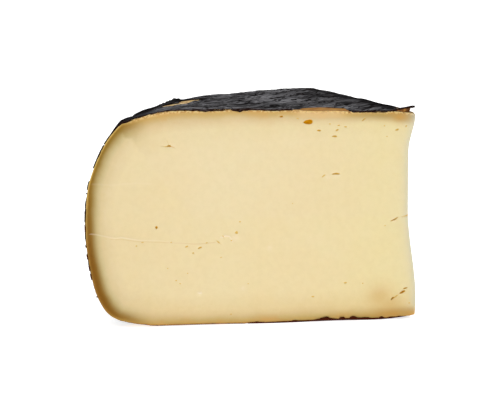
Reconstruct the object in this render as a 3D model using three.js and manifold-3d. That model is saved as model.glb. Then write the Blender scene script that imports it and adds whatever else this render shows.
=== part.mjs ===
// A wedge, about a fifth of a wheel, of semi-hard goat cheese in a black coating.
// Units are millimetres and +Z is up. The wedge is first built round the wheel's axis:
// the near cut face lies in the plane y = 0 and runs from the axis along -X, and the far
// cut face leans away from it by the wedge's angle. The finished solid is then moved so
// that the origin is the middle of its bounding box, on the flat base.

import * as THREE from 'three';
import { mergeVertices } from 'three/addons/utils/BufferGeometryUtils.js';
import Module from 'manifold-3d';

const wasm = await Module();
wasm.setup();

// Driving dimensions of the wheel.
const WHEEL_RADIUS = 128;
const WIDEST_HEIGHT = 42;
const CREST_RADIUS = 88;
const CREST_HEIGHT = 84.8;
const TOP_SINK = 2.3;
const SHOULDER_EDGE_RADIUS = 113.3;
const SHOULDER_EDGE_HEIGHT = 80.3;
const BASE_FLAT_RADIUS = 99.7;

// Handles of the curves between those points: how round each stretch of the side is.
const BASE_CORNER_OUT = 23.6;
const BASE_CORNER_UP = 29.9;
const SIDE_RISE = 15.5;
const SIDE_LEAN = new THREE.Vector2(7.5, -7.9);
const SHOULDER_LEAN = new THREE.Vector2(-5.8, 1.5);
const CREST_OUT = 12;
const CREST_IN = 12;
const TOP_EASE = new THREE.Vector2(30, 0.8);

// The cut.
const WEDGE_ANGLE = THREE.MathUtils.degToRad(71);
const NOSE_PAST_AXIS = 1.8;
const SECTOR_REACH = 190;
const SECTOR_MARGIN = 10;
const SECTOR_PAST_FAR_CUT = THREE.MathUtils.degToRad(6);

// The far face is hollowed towards the nose, most of all at the waist.
const HOLLOW_DEPTH = 3.2;
const HOLLOW_REACH = 76;
const HOLLOW_BOTTOM = [8, 44];
const HOLLOW_TOP = [67, 81.5];
const HOLLOW_LEFT_AT_TOP = 0.22;
const FACE_STEP = 4.5;
const CUTTER_THICKNESS = 60;
const CUTTER_MARGIN = 15;

// Fineness of the turned surface.
const TURN_STEP = 1.25;
const CURVE_STEPS = { base: 2, corner: 12, side: 12, shoulder: 12, top: 16 };

// Unevenness of the rind.
const WAVE_HEIGHT = 0.45;
const WAVE_LENGTH = 21;
const CRUMPLE_HEIGHT = 0.22;
const CRUMPLE_LENGTH = 8;
const NOISE_SEED = 7;
const WAVE_START_HEIGHT = 2;
const WAVE_FULL_HEIGHT = 14;

// Local forms of the rind: distance from the axis and angle from the near face.
const RIM_DENT = { radius: 113.5, angle: 15, spread: 9, depth: 1.3 };
const TEAR = { radius: 95, angle: 19, spread: 5, depth: 0.7 };
const LIP = { radius: 99.8, angle: 24.8, length: 4.6, width: 2.6, height: 1.8 };

// The tongue of rind lifted off the nose. Lengths along it are measured from the nose.
const TONGUE = { root: 12.5, tip: 1, lift: 2.3, thickness: 0.8, sink: 0.4, fill: 0.92 };
const TONGUE_GAP = [3.2, 5.2];
const TONGUE_STEPS = [10, 4];

// Worn corners of the paste at the top and bottom of the nose.
const WORN_TOP = { run: 2.9, drop: 1.4 };
const WORN_BOTTOM = { run: 2.4, drop: 1.2 };
const WORN_CUTTER = 12;

// Eyes and cracks in the near face: distance from the axis, height, half width, half
// height, depth and tilt in degrees. Their places and sizes follow the real piece.
const EYES = [
  { name: 'large eye', from: 40.7, up: 79.1, half: [2.0, 0.95], depth: 1.7, tilt: 0 },
  { name: 'eye by the rind', from: 51.3, up: 81.4, half: [0.6, 0.45], depth: 0.7, tilt: 5 },
  { name: 'eye below it', from: 36.7, up: 75.7, half: [0.75, 0.45], depth: 0.7, tilt: 0 },
  { name: 'flat eye', from: 30.5, up: 73.3, half: [0.95, 0.45], depth: 0.8, tilt: 4 },
  { name: 'tilted eye', from: 29.7, up: 75.8, half: [0.65, 0.4], depth: 0.6, tilt: 20 },
  { name: 'slash', from: 19.2, up: 79.8, half: [0.85, 0.3], depth: 0.6, tilt: 38 },
  { name: 'nose eye', from: 6.1, up: 75.5, half: [0.85, 0.45], depth: 0.8, tilt: 8 },
  { name: 'slit', from: 29.9, up: 58.8, half: [1.5, 0.4], depth: 1.0, tilt: 3 },
  { name: 'upright eye', from: 100.2, up: 39.2, half: [0.4, 0.85], depth: 0.8, tilt: 0 },
  { name: 'round eye', from: 69.1, up: 36.4, half: [0.6, 0.7], depth: 0.8, tilt: 0 },
  { name: 'star crack', from: 94.8, up: 71.0, half: [1.9, 0.35], depth: 0.9, tilt: -14 },
  { name: 'rising crack', from: 7.0, up: 39.7, half: [1.9, 0.35], depth: 1.0, tilt: 22 },
  { name: 'low nose crack', from: 2.6, up: 10.8, half: [1.7, 0.55], depth: 1.2, tilt: 32 },
  { name: 'low nose eye', from: 7.3, up: 8.1, half: [0.9, 0.5], depth: 1.0, tilt: 38 },
];
const EYE_SIDES = [10, 7];

const PASTE_COLOUR = 0xefdcaf;
const WELD = 1e-4;
const smooth = (low, high, value) => THREE.MathUtils.smoothstep(value, low, high);

function welded(geometry) {
  geometry.deleteAttribute('normal');
  geometry.deleteAttribute('uv');
  return mergeVertices(geometry, WELD);
}

// A closed three.js geometry as a manifold solid, without the triangles that a pole flattens.
function solidOf(geometry) {
  const merged = welded(geometry);
  const triangles = [];
  for (let i = 0; i < merged.index.count; i += 3) {
    const corners = [0, 1, 2].map((step) => merged.index.getX(i + step));
    if (new Set(corners).size === 3) {
      triangles.push(...corners);
    }
  }
  return new wasm.Manifold(new wasm.Mesh({
    numProp: 3,
    vertProperties: new Float32Array(merged.attributes.position.array),
    triVerts: new Uint32Array(triangles),
  }));
}

// A manifold solid as a three.js geometry again.
function geometryOf(solid) {
  const mesh = solid.getMesh();
  const geometry = new THREE.BufferGeometry();
  geometry.setAttribute('position', new THREE.BufferAttribute(mesh.vertProperties, 3));
  geometry.setIndex(new THREE.BufferAttribute(mesh.triVerts, 1));
  geometry.computeVertexNormals();
  return geometry;
}

function moveVertices(geometry, move) {
  const positions = geometry.attributes.position;
  const point = new THREE.Vector3();
  for (let i = 0; i < positions.count; i += 1) {
    point.fromBufferAttribute(positions, i);
    move(point);
    positions.setXYZ(i, point.x, point.y, point.z);
  }
  return geometry;
}

// Smooth seeded noise between -1 and 1: random values at lattice points, eased between them.
function latticeValue(x, y, z) {
  const mixed = Math.sin(x * 127.1 + y * 311.7 + z * 74.7 + NOISE_SEED * 19.19) * 43758.5453;
  return 2 * (mixed - Math.floor(mixed)) - 1;
}

function noise(point, wavelength) {
  const cell = point.clone().divideScalar(wavelength);
  const base = cell.clone().floor();
  const ease = cell.sub(base).toArray().map((t) => t * t * (3 - 2 * t));
  let sum = 0;
  for (let corner = 0; corner < 8; corner += 1) {
    const step = [corner & 1, (corner >> 1) & 1, (corner >> 2) & 1];
    const weight = step.reduce((w, on, axis) => w * (on ? ease[axis] : 1 - ease[axis]), 1);
    sum += weight * latticeValue(base.x + step[0], base.y + step[1], base.z + step[2]);
  }
  return sum;
}

// Half outline of the wheel, from the middle of the base round the side to the top's middle.
function wheelOutline() {
  const at = (x, y) => new THREE.Vector2(x, y);
  const baseEdge = at(BASE_FLAT_RADIUS, 0);
  const widest = at(WHEEL_RADIUS, WIDEST_HEIGHT);
  const edge = at(SHOULDER_EDGE_RADIUS, SHOULDER_EDGE_HEIGHT);
  const crest = at(CREST_RADIUS, CREST_HEIGHT);
  const middle = at(0, CREST_HEIGHT - TOP_SINK);
  const stretches = [
    [new THREE.LineCurve(at(0, 0), baseEdge), CURVE_STEPS.base],
    [new THREE.CubicBezierCurve(baseEdge, at(baseEdge.x + BASE_CORNER_OUT, 0),
      at(widest.x, widest.y - BASE_CORNER_UP), widest), CURVE_STEPS.corner],
    [new THREE.CubicBezierCurve(widest, at(widest.x, widest.y + SIDE_RISE),
      edge.clone().add(SIDE_LEAN), edge), CURVE_STEPS.side],
    [new THREE.CubicBezierCurve(edge, edge.clone().add(SHOULDER_LEAN),
      at(crest.x + CREST_OUT, crest.y), crest), CURVE_STEPS.shoulder],
    [new THREE.CubicBezierCurve(crest, at(crest.x - CREST_IN, crest.y),
      middle.clone().add(TOP_EASE), middle), CURVE_STEPS.top],
  ];
  const points = [at(0, 0)];
  for (const [curve, steps] of stretches) {
    points.push(...curve.getPoints(steps).slice(1));
  }
  points[points.length - 1].x = 0;
  return points;
}

// Height of a soft bump round a place on the wheel, 1 at its middle.
function bump(point, place, spreadAlong, spreadAcross) {
  const angle = Math.atan2(point.y, -point.x) - THREE.MathUtils.degToRad(place.angle);
  const along = place.radius * angle / spreadAlong;
  const across = (Math.hypot(point.x, point.y) - place.radius) / spreadAcross;
  return Math.exp(-along * along - across * across);
}

// Pushes a point of the turned surface in or out, as the handmade and aged rind is.
function ageRind(point) {
  const radius = Math.hypot(point.x, point.y);
  const outward = new THREE.Vector3(point.x, point.y, 0).normalize();
  const sideways = smooth(BASE_FLAT_RADIUS, WHEEL_RADIUS, radius);
  outward.multiplyScalar(sideways).setZ(1 - sideways).normalize();
  const raised = smooth(WAVE_START_HEIGHT, WAVE_FULL_HEIGHT, point.z);
  let push = raised * WAVE_HEIGHT * noise(point, WAVE_LENGTH);
  push += raised * CRUMPLE_HEIGHT * noise(point, CRUMPLE_LENGTH);
  if (point.z > WIDEST_HEIGHT) {
    push -= RIM_DENT.depth * bump(point, RIM_DENT, RIM_DENT.spread, RIM_DENT.spread);
    push -= TEAR.depth * bump(point, TEAR, TEAR.spread, TEAR.spread);
    push += LIP.height * bump(point, LIP, LIP.length, LIP.width);
  }
  point.addScaledVector(outward, push);
}

function wheel() {
  const turns = Math.round(360 / TURN_STEP);
  const turned = new THREE.LatheGeometry(wheelOutline(), turns);
  turned.rotateX(Math.PI / 2);
  turned.rotateZ(THREE.MathUtils.degToRad(TURN_STEP / 2));
  return solidOf(moveVertices(welded(turned), ageRind));
}

// Everything between the two cut planes, and a little past the far one.
function sector() {
  const past = WEDGE_ANGLE + SECTOR_PAST_FAR_CUT;
  const shape = new THREE.Shape();
  shape.moveTo(SECTOR_MARGIN, 0);
  shape.lineTo(-SECTOR_REACH, 0);
  shape.lineTo(-SECTOR_REACH * Math.cos(past / 2), SECTOR_REACH * Math.sin(past / 2));
  shape.lineTo(-SECTOR_REACH * Math.cos(past), SECTOR_REACH * Math.sin(past));
  shape.lineTo(SECTOR_MARGIN, SECTOR_MARGIN);
  const prism = new THREE.ExtrudeGeometry(shape, { depth: 2 * CREST_HEIGHT, bevelEnabled: false });
  prism.translate(0, 0, -SECTOR_MARGIN);
  return solidOf(prism);
}

// How deep the far face is hollowed, by distance from the nose and height.
function hollow(fromNose, height) {
  const rise = smooth(HOLLOW_BOTTOM[0], HOLLOW_BOTTOM[1], height);
  const fall = 1 - (1 - HOLLOW_LEFT_AT_TOP) * smooth(HOLLOW_TOP[0], HOLLOW_TOP[1], height);
  return HOLLOW_DEPTH * rise * fall * (1 - smooth(0, HOLLOW_REACH, fromNose));
}

// The block that the far cut removes: its inner side is the far face.
function farCutter() {
  const length = WHEEL_RADIUS + 3 * CUTTER_MARGIN;
  const tall = CREST_HEIGHT + 2 * CUTTER_MARGIN;
  const block = new THREE.BoxGeometry(length, CUTTER_THICKNESS, tall,
    Math.round(length / FACE_STEP), 1, Math.round(tall / FACE_STEP));
  block.translate(CUTTER_MARGIN - length / 2, CUTTER_THICKNESS / 2, tall / 2 - CUTTER_MARGIN);
  moveVertices(block, (point) => {
    if (point.y < CUTTER_THICKNESS / 2) {
      point.y -= hollow(Math.max(-point.x, 0), point.z);
    }
  });
  block.rotateZ(-WEDGE_ANGLE);
  block.translate(NOSE_PAST_AXIS, 0, 0);
  return solidOf(block);
}

// Turns a geometry modelled along -X to the wedge's middle line, with its end at the nose.
function placeAtNose(geometry) {
  geometry.rotateZ(-WEDGE_ANGLE / 2);
  return geometry.translate(NOSE_PAST_AXIS, 0, 0);
}

// A flat cutter that takes a worn corner off the nose, at its top or its bottom.
function wornCorner({ run, drop }, height, side) {
  const cutter = new THREE.BoxGeometry(2 * WORN_CUTTER, 2 * WORN_CUTTER, WORN_CUTTER);
  cutter.translate(0, 0, side * WORN_CUTTER / 2);
  cutter.rotateY(side * Math.atan2(drop, run));
  cutter.translate(-run / 2, 0, height - side * drop / 2);
  return solidOf(placeAtNose(cutter));
}

// The lifted rind: a plate nearly as wide as the wedge, curling up from its root to a blunt
// tip, free underneath near the tip and still stuck to the paste behind that.
function tongue() {
  const plate = new THREE.BoxGeometry(1, 1, 1, TONGUE_STEPS[0], TONGUE_STEPS[1], 1);
  moveVertices(plate, (point) => {
    const along = point.x + 0.5;
    const fromNose = THREE.MathUtils.lerp(TONGUE.root, TONGUE.tip, along);
    const stuck = smooth(TONGUE_GAP[0], TONGUE_GAP[1], fromNose);
    const top = TONGUE.lift * smooth(0, 1, along);
    const under = THREE.MathUtils.lerp(top - TONGUE.thickness, -TONGUE.sink, stuck);
    point.y *= 2 * TONGUE.fill * fromNose * Math.tan(WEDGE_ANGLE / 2);
    point.z = CREST_HEIGHT - TOP_SINK + (point.z > 0 ? top : under);
    point.x = -fromNose;
  });
  return solidOf(placeAtNose(plate));
}

// A lens-shaped cutter for an eye or a short crack in the near face.
function eye({ from, up, half, depth, tilt }) {
  const ball = new THREE.SphereGeometry(1, EYE_SIDES[0], EYE_SIDES[1]);
  ball.scale(half[0], depth, half[1]);
  ball.rotateY(-THREE.MathUtils.degToRad(tilt));
  ball.translate(-from, 0, up);
  return solidOf(ball);
}

// The wheel cut to the wedge, with its worn corners, its lifted rind and its eyes.
function wedge() {
  let solid = wheel().intersect(sector()).subtract(farCutter());
  solid = solid.subtract(wornCorner(WORN_TOP, CREST_HEIGHT - TOP_SINK, 1));
  solid = solid.subtract(wornCorner(WORN_BOTTOM, 0, -1));
  solid = solid.add(tongue());
  for (const hole of EYES) {
    solid = solid.subtract(eye(hole));
  }
  return solid;
}

function standOnOrigin(geometry) {
  geometry.computeBoundingBox();
  const middle = geometry.boundingBox.getCenter(new THREE.Vector3());
  return geometry.translate(-middle.x, -middle.y, -geometry.boundingBox.min.z);
}

const paste = new THREE.MeshStandardMaterial({ color: PASTE_COLOUR, roughness: 0.55, metalness: 0 });
const cheese = new THREE.Mesh(standOnOrigin(geometryOf(wedge())), paste);
cheese.name = 'cheese';

const part = new THREE.Group();
part.add(cheese);

export default part;
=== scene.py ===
"""The looks of a wedge of semi-hard goat cheese in a black coating.

Shapes are worked out in millimetres in the wheel's own coordinates: the wheel's axis is
x = y = 0, its base is z = 0, the near cut face lies in the plane y = 0 and runs along -X,
and the far cut face leans away from it by the wedge's angle. Places on the near face are
(distance from the axis, height). An arc is a distance along the wheel's outline, from the
top's middle over the side to the base's middle. Meshes are made in metres in the frame.
"""

import math

import bpy
import numpy as np
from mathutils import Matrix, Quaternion, Vector, geometry, kdtree


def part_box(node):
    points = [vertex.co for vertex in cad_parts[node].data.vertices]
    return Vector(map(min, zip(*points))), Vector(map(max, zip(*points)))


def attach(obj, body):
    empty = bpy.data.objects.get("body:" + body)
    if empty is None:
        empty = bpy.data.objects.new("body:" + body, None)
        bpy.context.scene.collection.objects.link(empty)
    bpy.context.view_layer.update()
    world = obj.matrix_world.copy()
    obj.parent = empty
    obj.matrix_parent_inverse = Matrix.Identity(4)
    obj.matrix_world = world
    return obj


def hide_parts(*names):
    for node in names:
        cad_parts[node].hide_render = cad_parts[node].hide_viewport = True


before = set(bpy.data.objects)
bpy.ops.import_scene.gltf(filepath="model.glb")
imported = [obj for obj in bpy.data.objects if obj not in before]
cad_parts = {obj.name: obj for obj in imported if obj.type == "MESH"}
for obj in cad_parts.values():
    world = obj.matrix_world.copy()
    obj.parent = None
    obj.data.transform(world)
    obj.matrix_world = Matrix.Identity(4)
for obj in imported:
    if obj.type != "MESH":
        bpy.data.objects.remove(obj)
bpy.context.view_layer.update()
LOW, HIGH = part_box("cheese")
MM = 0.001
TINY = 1e-9

# Driving dimensions of the wheel, as in the solid.
WHEEL_RADIUS = 128.0
WIDEST_HEIGHT = 42.0
CREST_RADIUS = 88.0
CREST_HEIGHT = 84.8
TOP_SINK = 2.3
SHOULDER_EDGE = np.array((113.3, 80.3))
BASE_FLAT_RADIUS = 99.7
TOP_MIDDLE_HEIGHT = CREST_HEIGHT - TOP_SINK

# Handles of the curves between those points.
BASE_CORNER_OUT = 23.6
BASE_CORNER_UP = 29.9
SIDE_RISE = 15.5
SIDE_LEAN = np.array((7.5, -7.9))
SHOULDER_LEAN = np.array((-5.8, 1.5))
CREST_OUT = 12.0
CREST_IN = 12.0
TOP_EASE = np.array((30.0, 0.8))
CURVE_POINTS = 160

# The cut.
WEDGE_ANGLE = math.radians(71)
HALF_ANGLE = WEDGE_ANGLE / 2
NOSE_PAST_AXIS = 1.8
FAN_RADIUS = 12.0
NOSE = np.array((NOSE_PAST_AXIS, 0.0))
ALONG_FAR = np.array((-math.cos(WEDGE_ANGLE), math.sin(WEDGE_ANGLE)))
OUT_OF_FAR = np.array((math.sin(WEDGE_ANGLE), math.cos(WEDGE_ANGLE)))
ALONG_MIDDLE = np.array((-math.cos(HALF_ANGLE), math.sin(HALF_ANGLE)))
ACROSS_MIDDLE = np.array((math.sin(HALF_ANGLE), math.cos(HALF_ANGLE)))

# The hollow of the far face.
HOLLOW_DEPTH = 3.2
HOLLOW_REACH = 76.0
HOLLOW_BOTTOM = (8.0, 44.0)
HOLLOW_TOP = (67.0, 81.5)
HOLLOW_LEFT_AT_TOP = 0.22
HOLLOW_FADE = 14.0
HOLLOW_ROUNDS = 12
# Unevenness of the rind.
NOISE_SEED = 7
WAVE_HEIGHT = 0.45
WAVE_LENGTH = 21.0
CRUMPLE_HEIGHT = 0.22
CRUMPLE_LENGTH = 8.0
WAVE_HEIGHTS = (2.0, 14.0)

# Dents and swells of the upper skin: distance from the axis, angle from the near cut in
# degrees, reach round the wheel, reach across it and height. The first three, the rim's dent,
# the torn place's dip and its lip, are in the solid too.
SWELLS = (
    (113.5, 15.0, 9.0, 9.0, -1.3), (95.0, 19.0, 5.0, 5.0, -0.7), (99.8, 24.8, 4.6, 2.6, 1.8),
    (60.0, 72.0, 24.0, 17.0, -0.5), (18.0, 74.0, 12.0, 9.0, 0.48), (99.0, 57.0, 22.0, 12.0, -0.35),
    (49.0, 1.0, 6.0, 7.0, 0.35), (98.0, 39.5, 12.0, 10.0, 0.45), (113.0, 17.0, 5.5, 5.0, 0.4),
    (114.5, 3.5, 4.5, 4.5, 0.45), (97.0, 44.0, 7.0, 7.0, 0.35), (7.5, 8.0, 5.5, 4.5, 0.5),
    (102.0, 0.0, 4.5, 8.0, 0.38), (31.0, 0.0, 4.0, 6.5, 0.2), (99.8, 24.8, 3.8, 2.4, -0.9),
)

# The crumpled coating on the torn place's lip, which ends steeply towards the nose: its place
# as above, its height and end, and its knobs as x, y, width and height.
LIP_FOLDS = (102.6, 23.8, 5.0, 4.8)
LIP_FOLD_HEIGHT = 0.65
LIP_FOLD_END = (-89.7, -89.0)
LIP_JAGS = (0.35, (0.8, 2.6, 41), (0.5, 1.3, 42))
LIP_PEAKS = ((-96.0, 36.5, 0.8, 0.95), (-94.6, 38.3, 0.6, 0.6), (-93.3, 39.6, 0.6, 0.5),
             (-91.6, 40.4, 0.75, 0.5), (-90.6, 39.9, 0.7, 0.4), (-89.5, 39.7, 0.7, 0.9))

# Worn corners of the nose, its rounded edge, and the base let down along the near cut: places
# as distance from the axis, reach and drop.
WORN_TOP = dict(run=2.9, drop=1.4)
WORN_BOTTOM = dict(run=14.0, drop=1.25, power=1.8)
LOW_NOSE_BACK = 0.55
LOW_NOSE_HEIGHT = 6.0
NOSE_ROUND = 0.3
NOSE_ROUND_REACH = 1.8
BASE_SAGS = ((54.0, 16.0, 0.36), (14.0, 11.0, 0.22))
SAG_BACK = 16.0
SAG_HEIGHTS = (1.0, 12.0)

# The tongue of rind lifted off the nose, measured from the nose along the middle line.
TONGUE_ROOT = 11.0
TONGUE_TIP = 1.0
TONGUE_LIFT = 2.3
TONGUE_FILL = 0.95
TONGUE_THICK = 0.25
TONGUE_THICK_LIFTS = (0.2, 1.2)
TONGUE_HANG = 0.05
TONGUE_HANG_REACH = (0.6 * TONGUE_ROOT, 1.3 * TONGUE_ROOT)
TONGUE_HANG_RAGS = (0.75, 0.5, 0.9)
TONGUE_HANG_START = (0, 3.0)
TONGUE_EDGE_START = 0.8 * TONGUE_TIP

# How far the rind lies below the solid's skin. Four limits in a row are a band: 1 between the
# two inner ones and 0 beyond the outer ones.
INSET = 0.3
INSET_HEIGHTS = (42.0, 64.0)
INSET_BACK = (0.5, 9.0)
KEPT_OUT_BACK = (0.4, 2.4)
LOW_CORNER = (2.0, 3.5, 10.0, 18.0)
LOW_SWELL = dict(height=5.4, across=3.6, push=0.75, back=(2.0, 14.0), radii=(100.0, 112.0))
BARE_BASE = (64.0, 67.0, 103.0, 106.0)
BASE_TOP = 2.0

# The coating: its thickness, its wrinkles and how they calm down, and its lost places.
COAT_TOP = 0.32
COAT_SIDE = 0.42
COAT_SUNK = 0.12
COAT_LEAST = 0.15
WRINKLE_HEIGHT = 0.62
WRINKLE_SUNK = 0.24
FINE_WRINKLE_HEIGHT = 0.12
SIDE_WRINKLE_SHARE = 0.3
WARP_LENGTH = 15
WARP_REACH = 3.4
WARP_SEEDS = (21, 22, 23)
CREASES = ((11.0, 24, 2.6), (6.5, 25, 2.8), (3.1, 26, 3.0))
CREASE_POWER = 1.3
SECOND_CREASE = 0.75
GROWN = dict(least=0.7, more=0.45, wavelength=30, seed=27)
NEAR_NOSE = (0, 10)
NEAR_CUT = (0, 5)
NEAR_FAR_CUT = (-1, 8)
CALM_SHARE = 0.35
CALM_FAR_CUT = (0, 6)
CALM_FAR_SHARE = 0.45
SIDE_CROWDING = 0.6
WHOLE = 3.0
CLIP_SHARES = (0.12, 0.88)
RAGS = ((0.55, 2.6, 31), (0.25, 1.1, 32))
CHIPS = ((0.5, 2.3, 33), (0.5, 5.2, 34), (0.25, 1.3, 35))
CHIP_LIMITS = (-0.85, -0.2)
CHIP_REACH = (3.0, 12.0)
CHIP_CLEAR = 0.6
CHIP_CLEAR_REACH = (2.0, 6.0)
CHIP_SLOPE = 1.6
CRUMBS = ((0.7, 1.7, 36), (0.45, 3.4, 37))
CRUMB_LIMITS = (-1.6, 0.02)
CRUMB_STRETCH = 3.0
CRUMB_APART = 100
CRUMB_REACHES = (6.0, 13.0)
CRUMB_FADE = (-2.5, 2.0)
CRUMB_SLOPE = 1.2
TONGUE_RAGGED = 0.5
LOW_NOSE_SHORT = 3.4
LOW_NOSE_RAGGED = 1.2
BASE_SHORT = 1.3
BASE_RAGGED = 0.6
BARE_COAT = (64.0, 67.0, 117.0, 120.0)

# Places on the top where the coating is gone, as plan outlines, and how ragged they are.
FLAKED_STRIP = ((-47.5, -2.0), (-47.1, 1.5), (-46.0, 5.0), (-44.2, 8.8), (-41.8, 12.0), (-38.2, 13.5),
                (-34.4, 14.7), (-29.2, 14.2), (-24.8, 12.6), (-24.1, 8.0), (-24.4, -2.0))
TEAR = ((-97.4, 23.5), (-95.6, 21.5), (-92.6, 23.4), (-90.6, 28.5), (-88.4, 30.2), (-86.0, 31.4),
        (-83.6, 33.8), (-81.8, 37.0), (-80.8, 40.0), (-83.2, 40.6), (-86.2, 39.6), (-88.2, 38.6),
        (-89.4, 37.2), (-90.0, 35.2), (-92.4, 34.8), (-96.6, 33.6))
HOLES = ((FLAKED_STRIP, 1.1), (TEAR, 0.7))
SPOT_PLACE = (-100.1, 17.0)
SPOT_HALVES = (0.75, 2.0)
SPOT_ROUGHNESS = 0.4

# Tones of the coating in plan: places with their reach, and bands from the far cut and the rim.
# A painted cold sheen on the coating: its place and reach.
SHEEN = ((-101.5, 8.5), (6.5, 6.0))
DARK_PATCH = ((-31.0, 57.0), (8.0, 22.0))
DARK_PATCH_SHARE = 0.85
# The band along the far cut is painted shade, where the top curves away from the light.
FAR_EDGE_BAND = (4.0, 9.0)
FAR_EDGE_END = (88.0, 104.0)
BEHIND = (34.0, 38.0)
BEHIND_TEAR = (1.0, 5.0)
DARK_RIM = (1.0, 4.5)
DARK_RIM_SHARE = 0.85
TONGUE_DARK = (6.0, 20.0)
TONGUE_DARK_SHARE = 0.75
FOLD_DARK = 1.6

# Eyes in the near face: distance from the axis, height, half width, half height, depth and
# tilt in degrees, positive where the right end is the higher one.
EYES = (
    (41.3, 78.95, 2.0, 1.08, 1.5, 2), (51.7, 81.4, 0.75, 0.45, 0.8, 5),
    (37.1, 75.7, 0.75, 0.5, 0.5, 0), (31.0, 73.3, 0.98, 0.48, 0.45, -4),
    (30.0, 75.7, 0.66, 0.42, 0.35, 24), (19.6, 79.6, 0.95, 0.26, 0.4, 38),
    (6.5, 75.4, 0.95, 0.42, 0.4, 8), (30.5, 58.6, 1.7, 0.44, 0.6, 3),
    (100.7, 39.1, 0.48, 0.8, 0.85, 0), (69.6, 36.3, 0.6, 0.78, 0.25, 0),
    (45.4, 80.6, 0.55, 0.26, 0.2, -20), (29.4, 77.6, 0.5, 0.26, 0.3, 0),
    (26.7, 77.0, 0.6, 0.3, 0.2, -10), (2.9, 76.8, 0.38, 0.36, 0.3, 0),
    (11.4, 77.1, 0.3, 0.36, 0.2, 30), (10.4, 72.9, 0.4, 0.24, 0.15, 0),
    (35.3, 57.9, 0.85, 0.34, 0.2, 35), (68.2, 40.6, 0.4, 0.38, 0.12, 0),
    (84.0, 30.7, 0.95, 0.36, 0.45, 20), (89.1, 31.3, 0.7, 0.36, 0.25, 20),
    (81.3, 32.6, 0.5, 0.26, 0.15, 15), (75.7, 26.7, 0.45, 0.24, 0.15, 20),
    (86.6, 28.7, 0.46, 0.34, 0.3, 0), (7.7, 8.1, 0.85, 0.38, 1.4, 35),
    (3.8, 10.5, 1.35, 0.52, 1.1, 22), (6.0, 9.2, 0.4, 0.28, 0.25, 20),
    (2.6, 12.1, 1.0, 0.34, 0.7, 14), (10.9, 37.6, 0.4, 0.25, 0.15, 20), (1.9, 41.6, 0.4, 0.3, 0.4, 0),
    (1.0, 6.1, 0.35, 0.26, 0.2, 0), (26.7, 15.0, 0.66, 0.36, 0.3, 0),
    (19.7, 14.6, 0.36, 0.26, 0.25, 0), (39.6, 9.8, 0.62, 0.36, 0.25, 0),
    (72.1, 3.8, 0.38, 0.28, 0.25, 0), (108.6, 32.1, 0.38, 0.32, 0.2, 0),
    (106.2, 33.5, 0.5, 0.24, 0.15, 0), (95.1, 33.2, 0.4, 0.24, 0.15, 0),
    (96.6, 22.9, 0.28, 0.24, 0.12, 0), (88.9, 20.7, 0.3, 0.26, 0.15, 0),
    (93.4, 17.9, 0.36, 0.34, 0.15, 0), (91.9, 16.6, 0.34, 0.32, 0.12, 0),
    (65.2, 15.8, 0.3, 0.26, 0.12, 0), (95.2, 70.9, 0.8, 0.42, 0.9, -8),
    (71.6, 33.3, 0.4, 0.26, 0.15, 0),
    (32.8, 78.2, 0.4, 0.34, 0.1, 0), (47.5, 47.4, 0.24, 0.22, 0.12, 0),
    (7.3, 40.0, 2.4, 0.3, 0.6, 19), (3.0, 41.3, 1.9, 0.18, 0.2, 8),
)

# Cracks in the near face: points, half width and depth.
CRACKS = (
    (((97.8, 71.0), (96.2, 70.7), (95.2, 71.0), (94.0, 70.6), (92.4, 70.1)), 0.5, 0.6),
    (((95.8, 73.0), (95.4, 71.9), (95.2, 70.8)), 0.46, 0.85),
    (((9.0, 7.1), (7.4, 8.3), (6.0, 9.2), (4.6, 10.2)), 0.36, 0.45),
    (((77.9, 34.0), (76.8, 32.9), (75.7, 32.0)), 0.4, 0.45),
    (((72.8, 34.3), (71.5, 33.9), (70.5, 34.2)), 0.24, 0.2),
    (((75.3, 35.5), (74.8, 35.1), (74.5, 34.5)), 0.22, 0.18),
)

# Lines across the near face, pale ones and faint ochre ones: points, half width and strength
# at both ends. Pale patches: place and radius.
KNIFE_LINES = (
    (((126.1, 37.3), (124.1, 37.1), (119.3, 35.9), (116.8, 35.4), (114.2, 35.7),
      (111.3, 35.1), (107.2, 34.3), (100.1, 34.1), (93.7, 33.0), (86.3, 32.6)),
     (0.34, 0.26), (0.72, 0.02)),
    (((124.8, 56.8), (117.0, 56.3), (108.5, 56.8), (102.5, 56.4)), (0.45, 0.4), (0.2, 0.14)),
    (((75.1, 34.8), (73.7, 35.3), (72.3, 35.0), (71.6, 33.9), (71.3, 32.9)),
     (0.34, 0.26), (0.95, 0.7)),
    (((84.5, 12.6), (83.8, 12.7)), (0.34, 0.34), (1.0, 1.0)),
)
# The faint ochre line is painted shadow beneath the first pale knife line.
KNIFE_SHADOW_LINES = (
    (((118.7, 35.1), (114.1, 35.0), (111.8, 34.5), (109.5, 34.1), (104.8, 33.7), (100.2, 33.4),
      (95.5, 33.1), (90.9, 32.8), (88.5, 32.6), (86.2, 32.3), (83.9, 32.3), (81.5, 32.5),
      (78.4, 32.7)), (0.24, 0.24), (0.12, 0.22)),
)
LINE_EDGE = (0.5, 1.1)
KNIFE_START = (0.6, 2.5)
KNIFE_FULL = (6.0, 14.0)
KNIFE_LEAST = 0.42
KNIFE_DEPTH = 0.12
PALE_PATCHES = ((69.9, 34.5, 1.3), (67.2, 14.2, 1.0), (56.6, 29.9, 1.0), (33.5, 57.5, 0.9),
                (30.3, 58.1, 1.2), (84.1, 12.6, 0.6), (5.7, 39.8, 1.0))
PALE_PATCH_SHARE = 0.55
PALE_PATCH_FLATNESS = math.sqrt(1.6)

# Ochre patches of the paste: place, half width, half height and strength.
OCHRE_PATCHES = (
    (12.8, 9.4, 5.2, 4.6, 0.44), (8.6, 5.8, 6.0, 4.4, 0.4), (4.7, 80.5, 3.2, 1.6, 0.85),
    (0.6, 1.8, 4.2, 1.9, 0.85), (8.6, 81.7, 3.0, 1.2, 0.5), (8.0, 0.8, 8.0, 4.0, 0.85),
)

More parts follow.
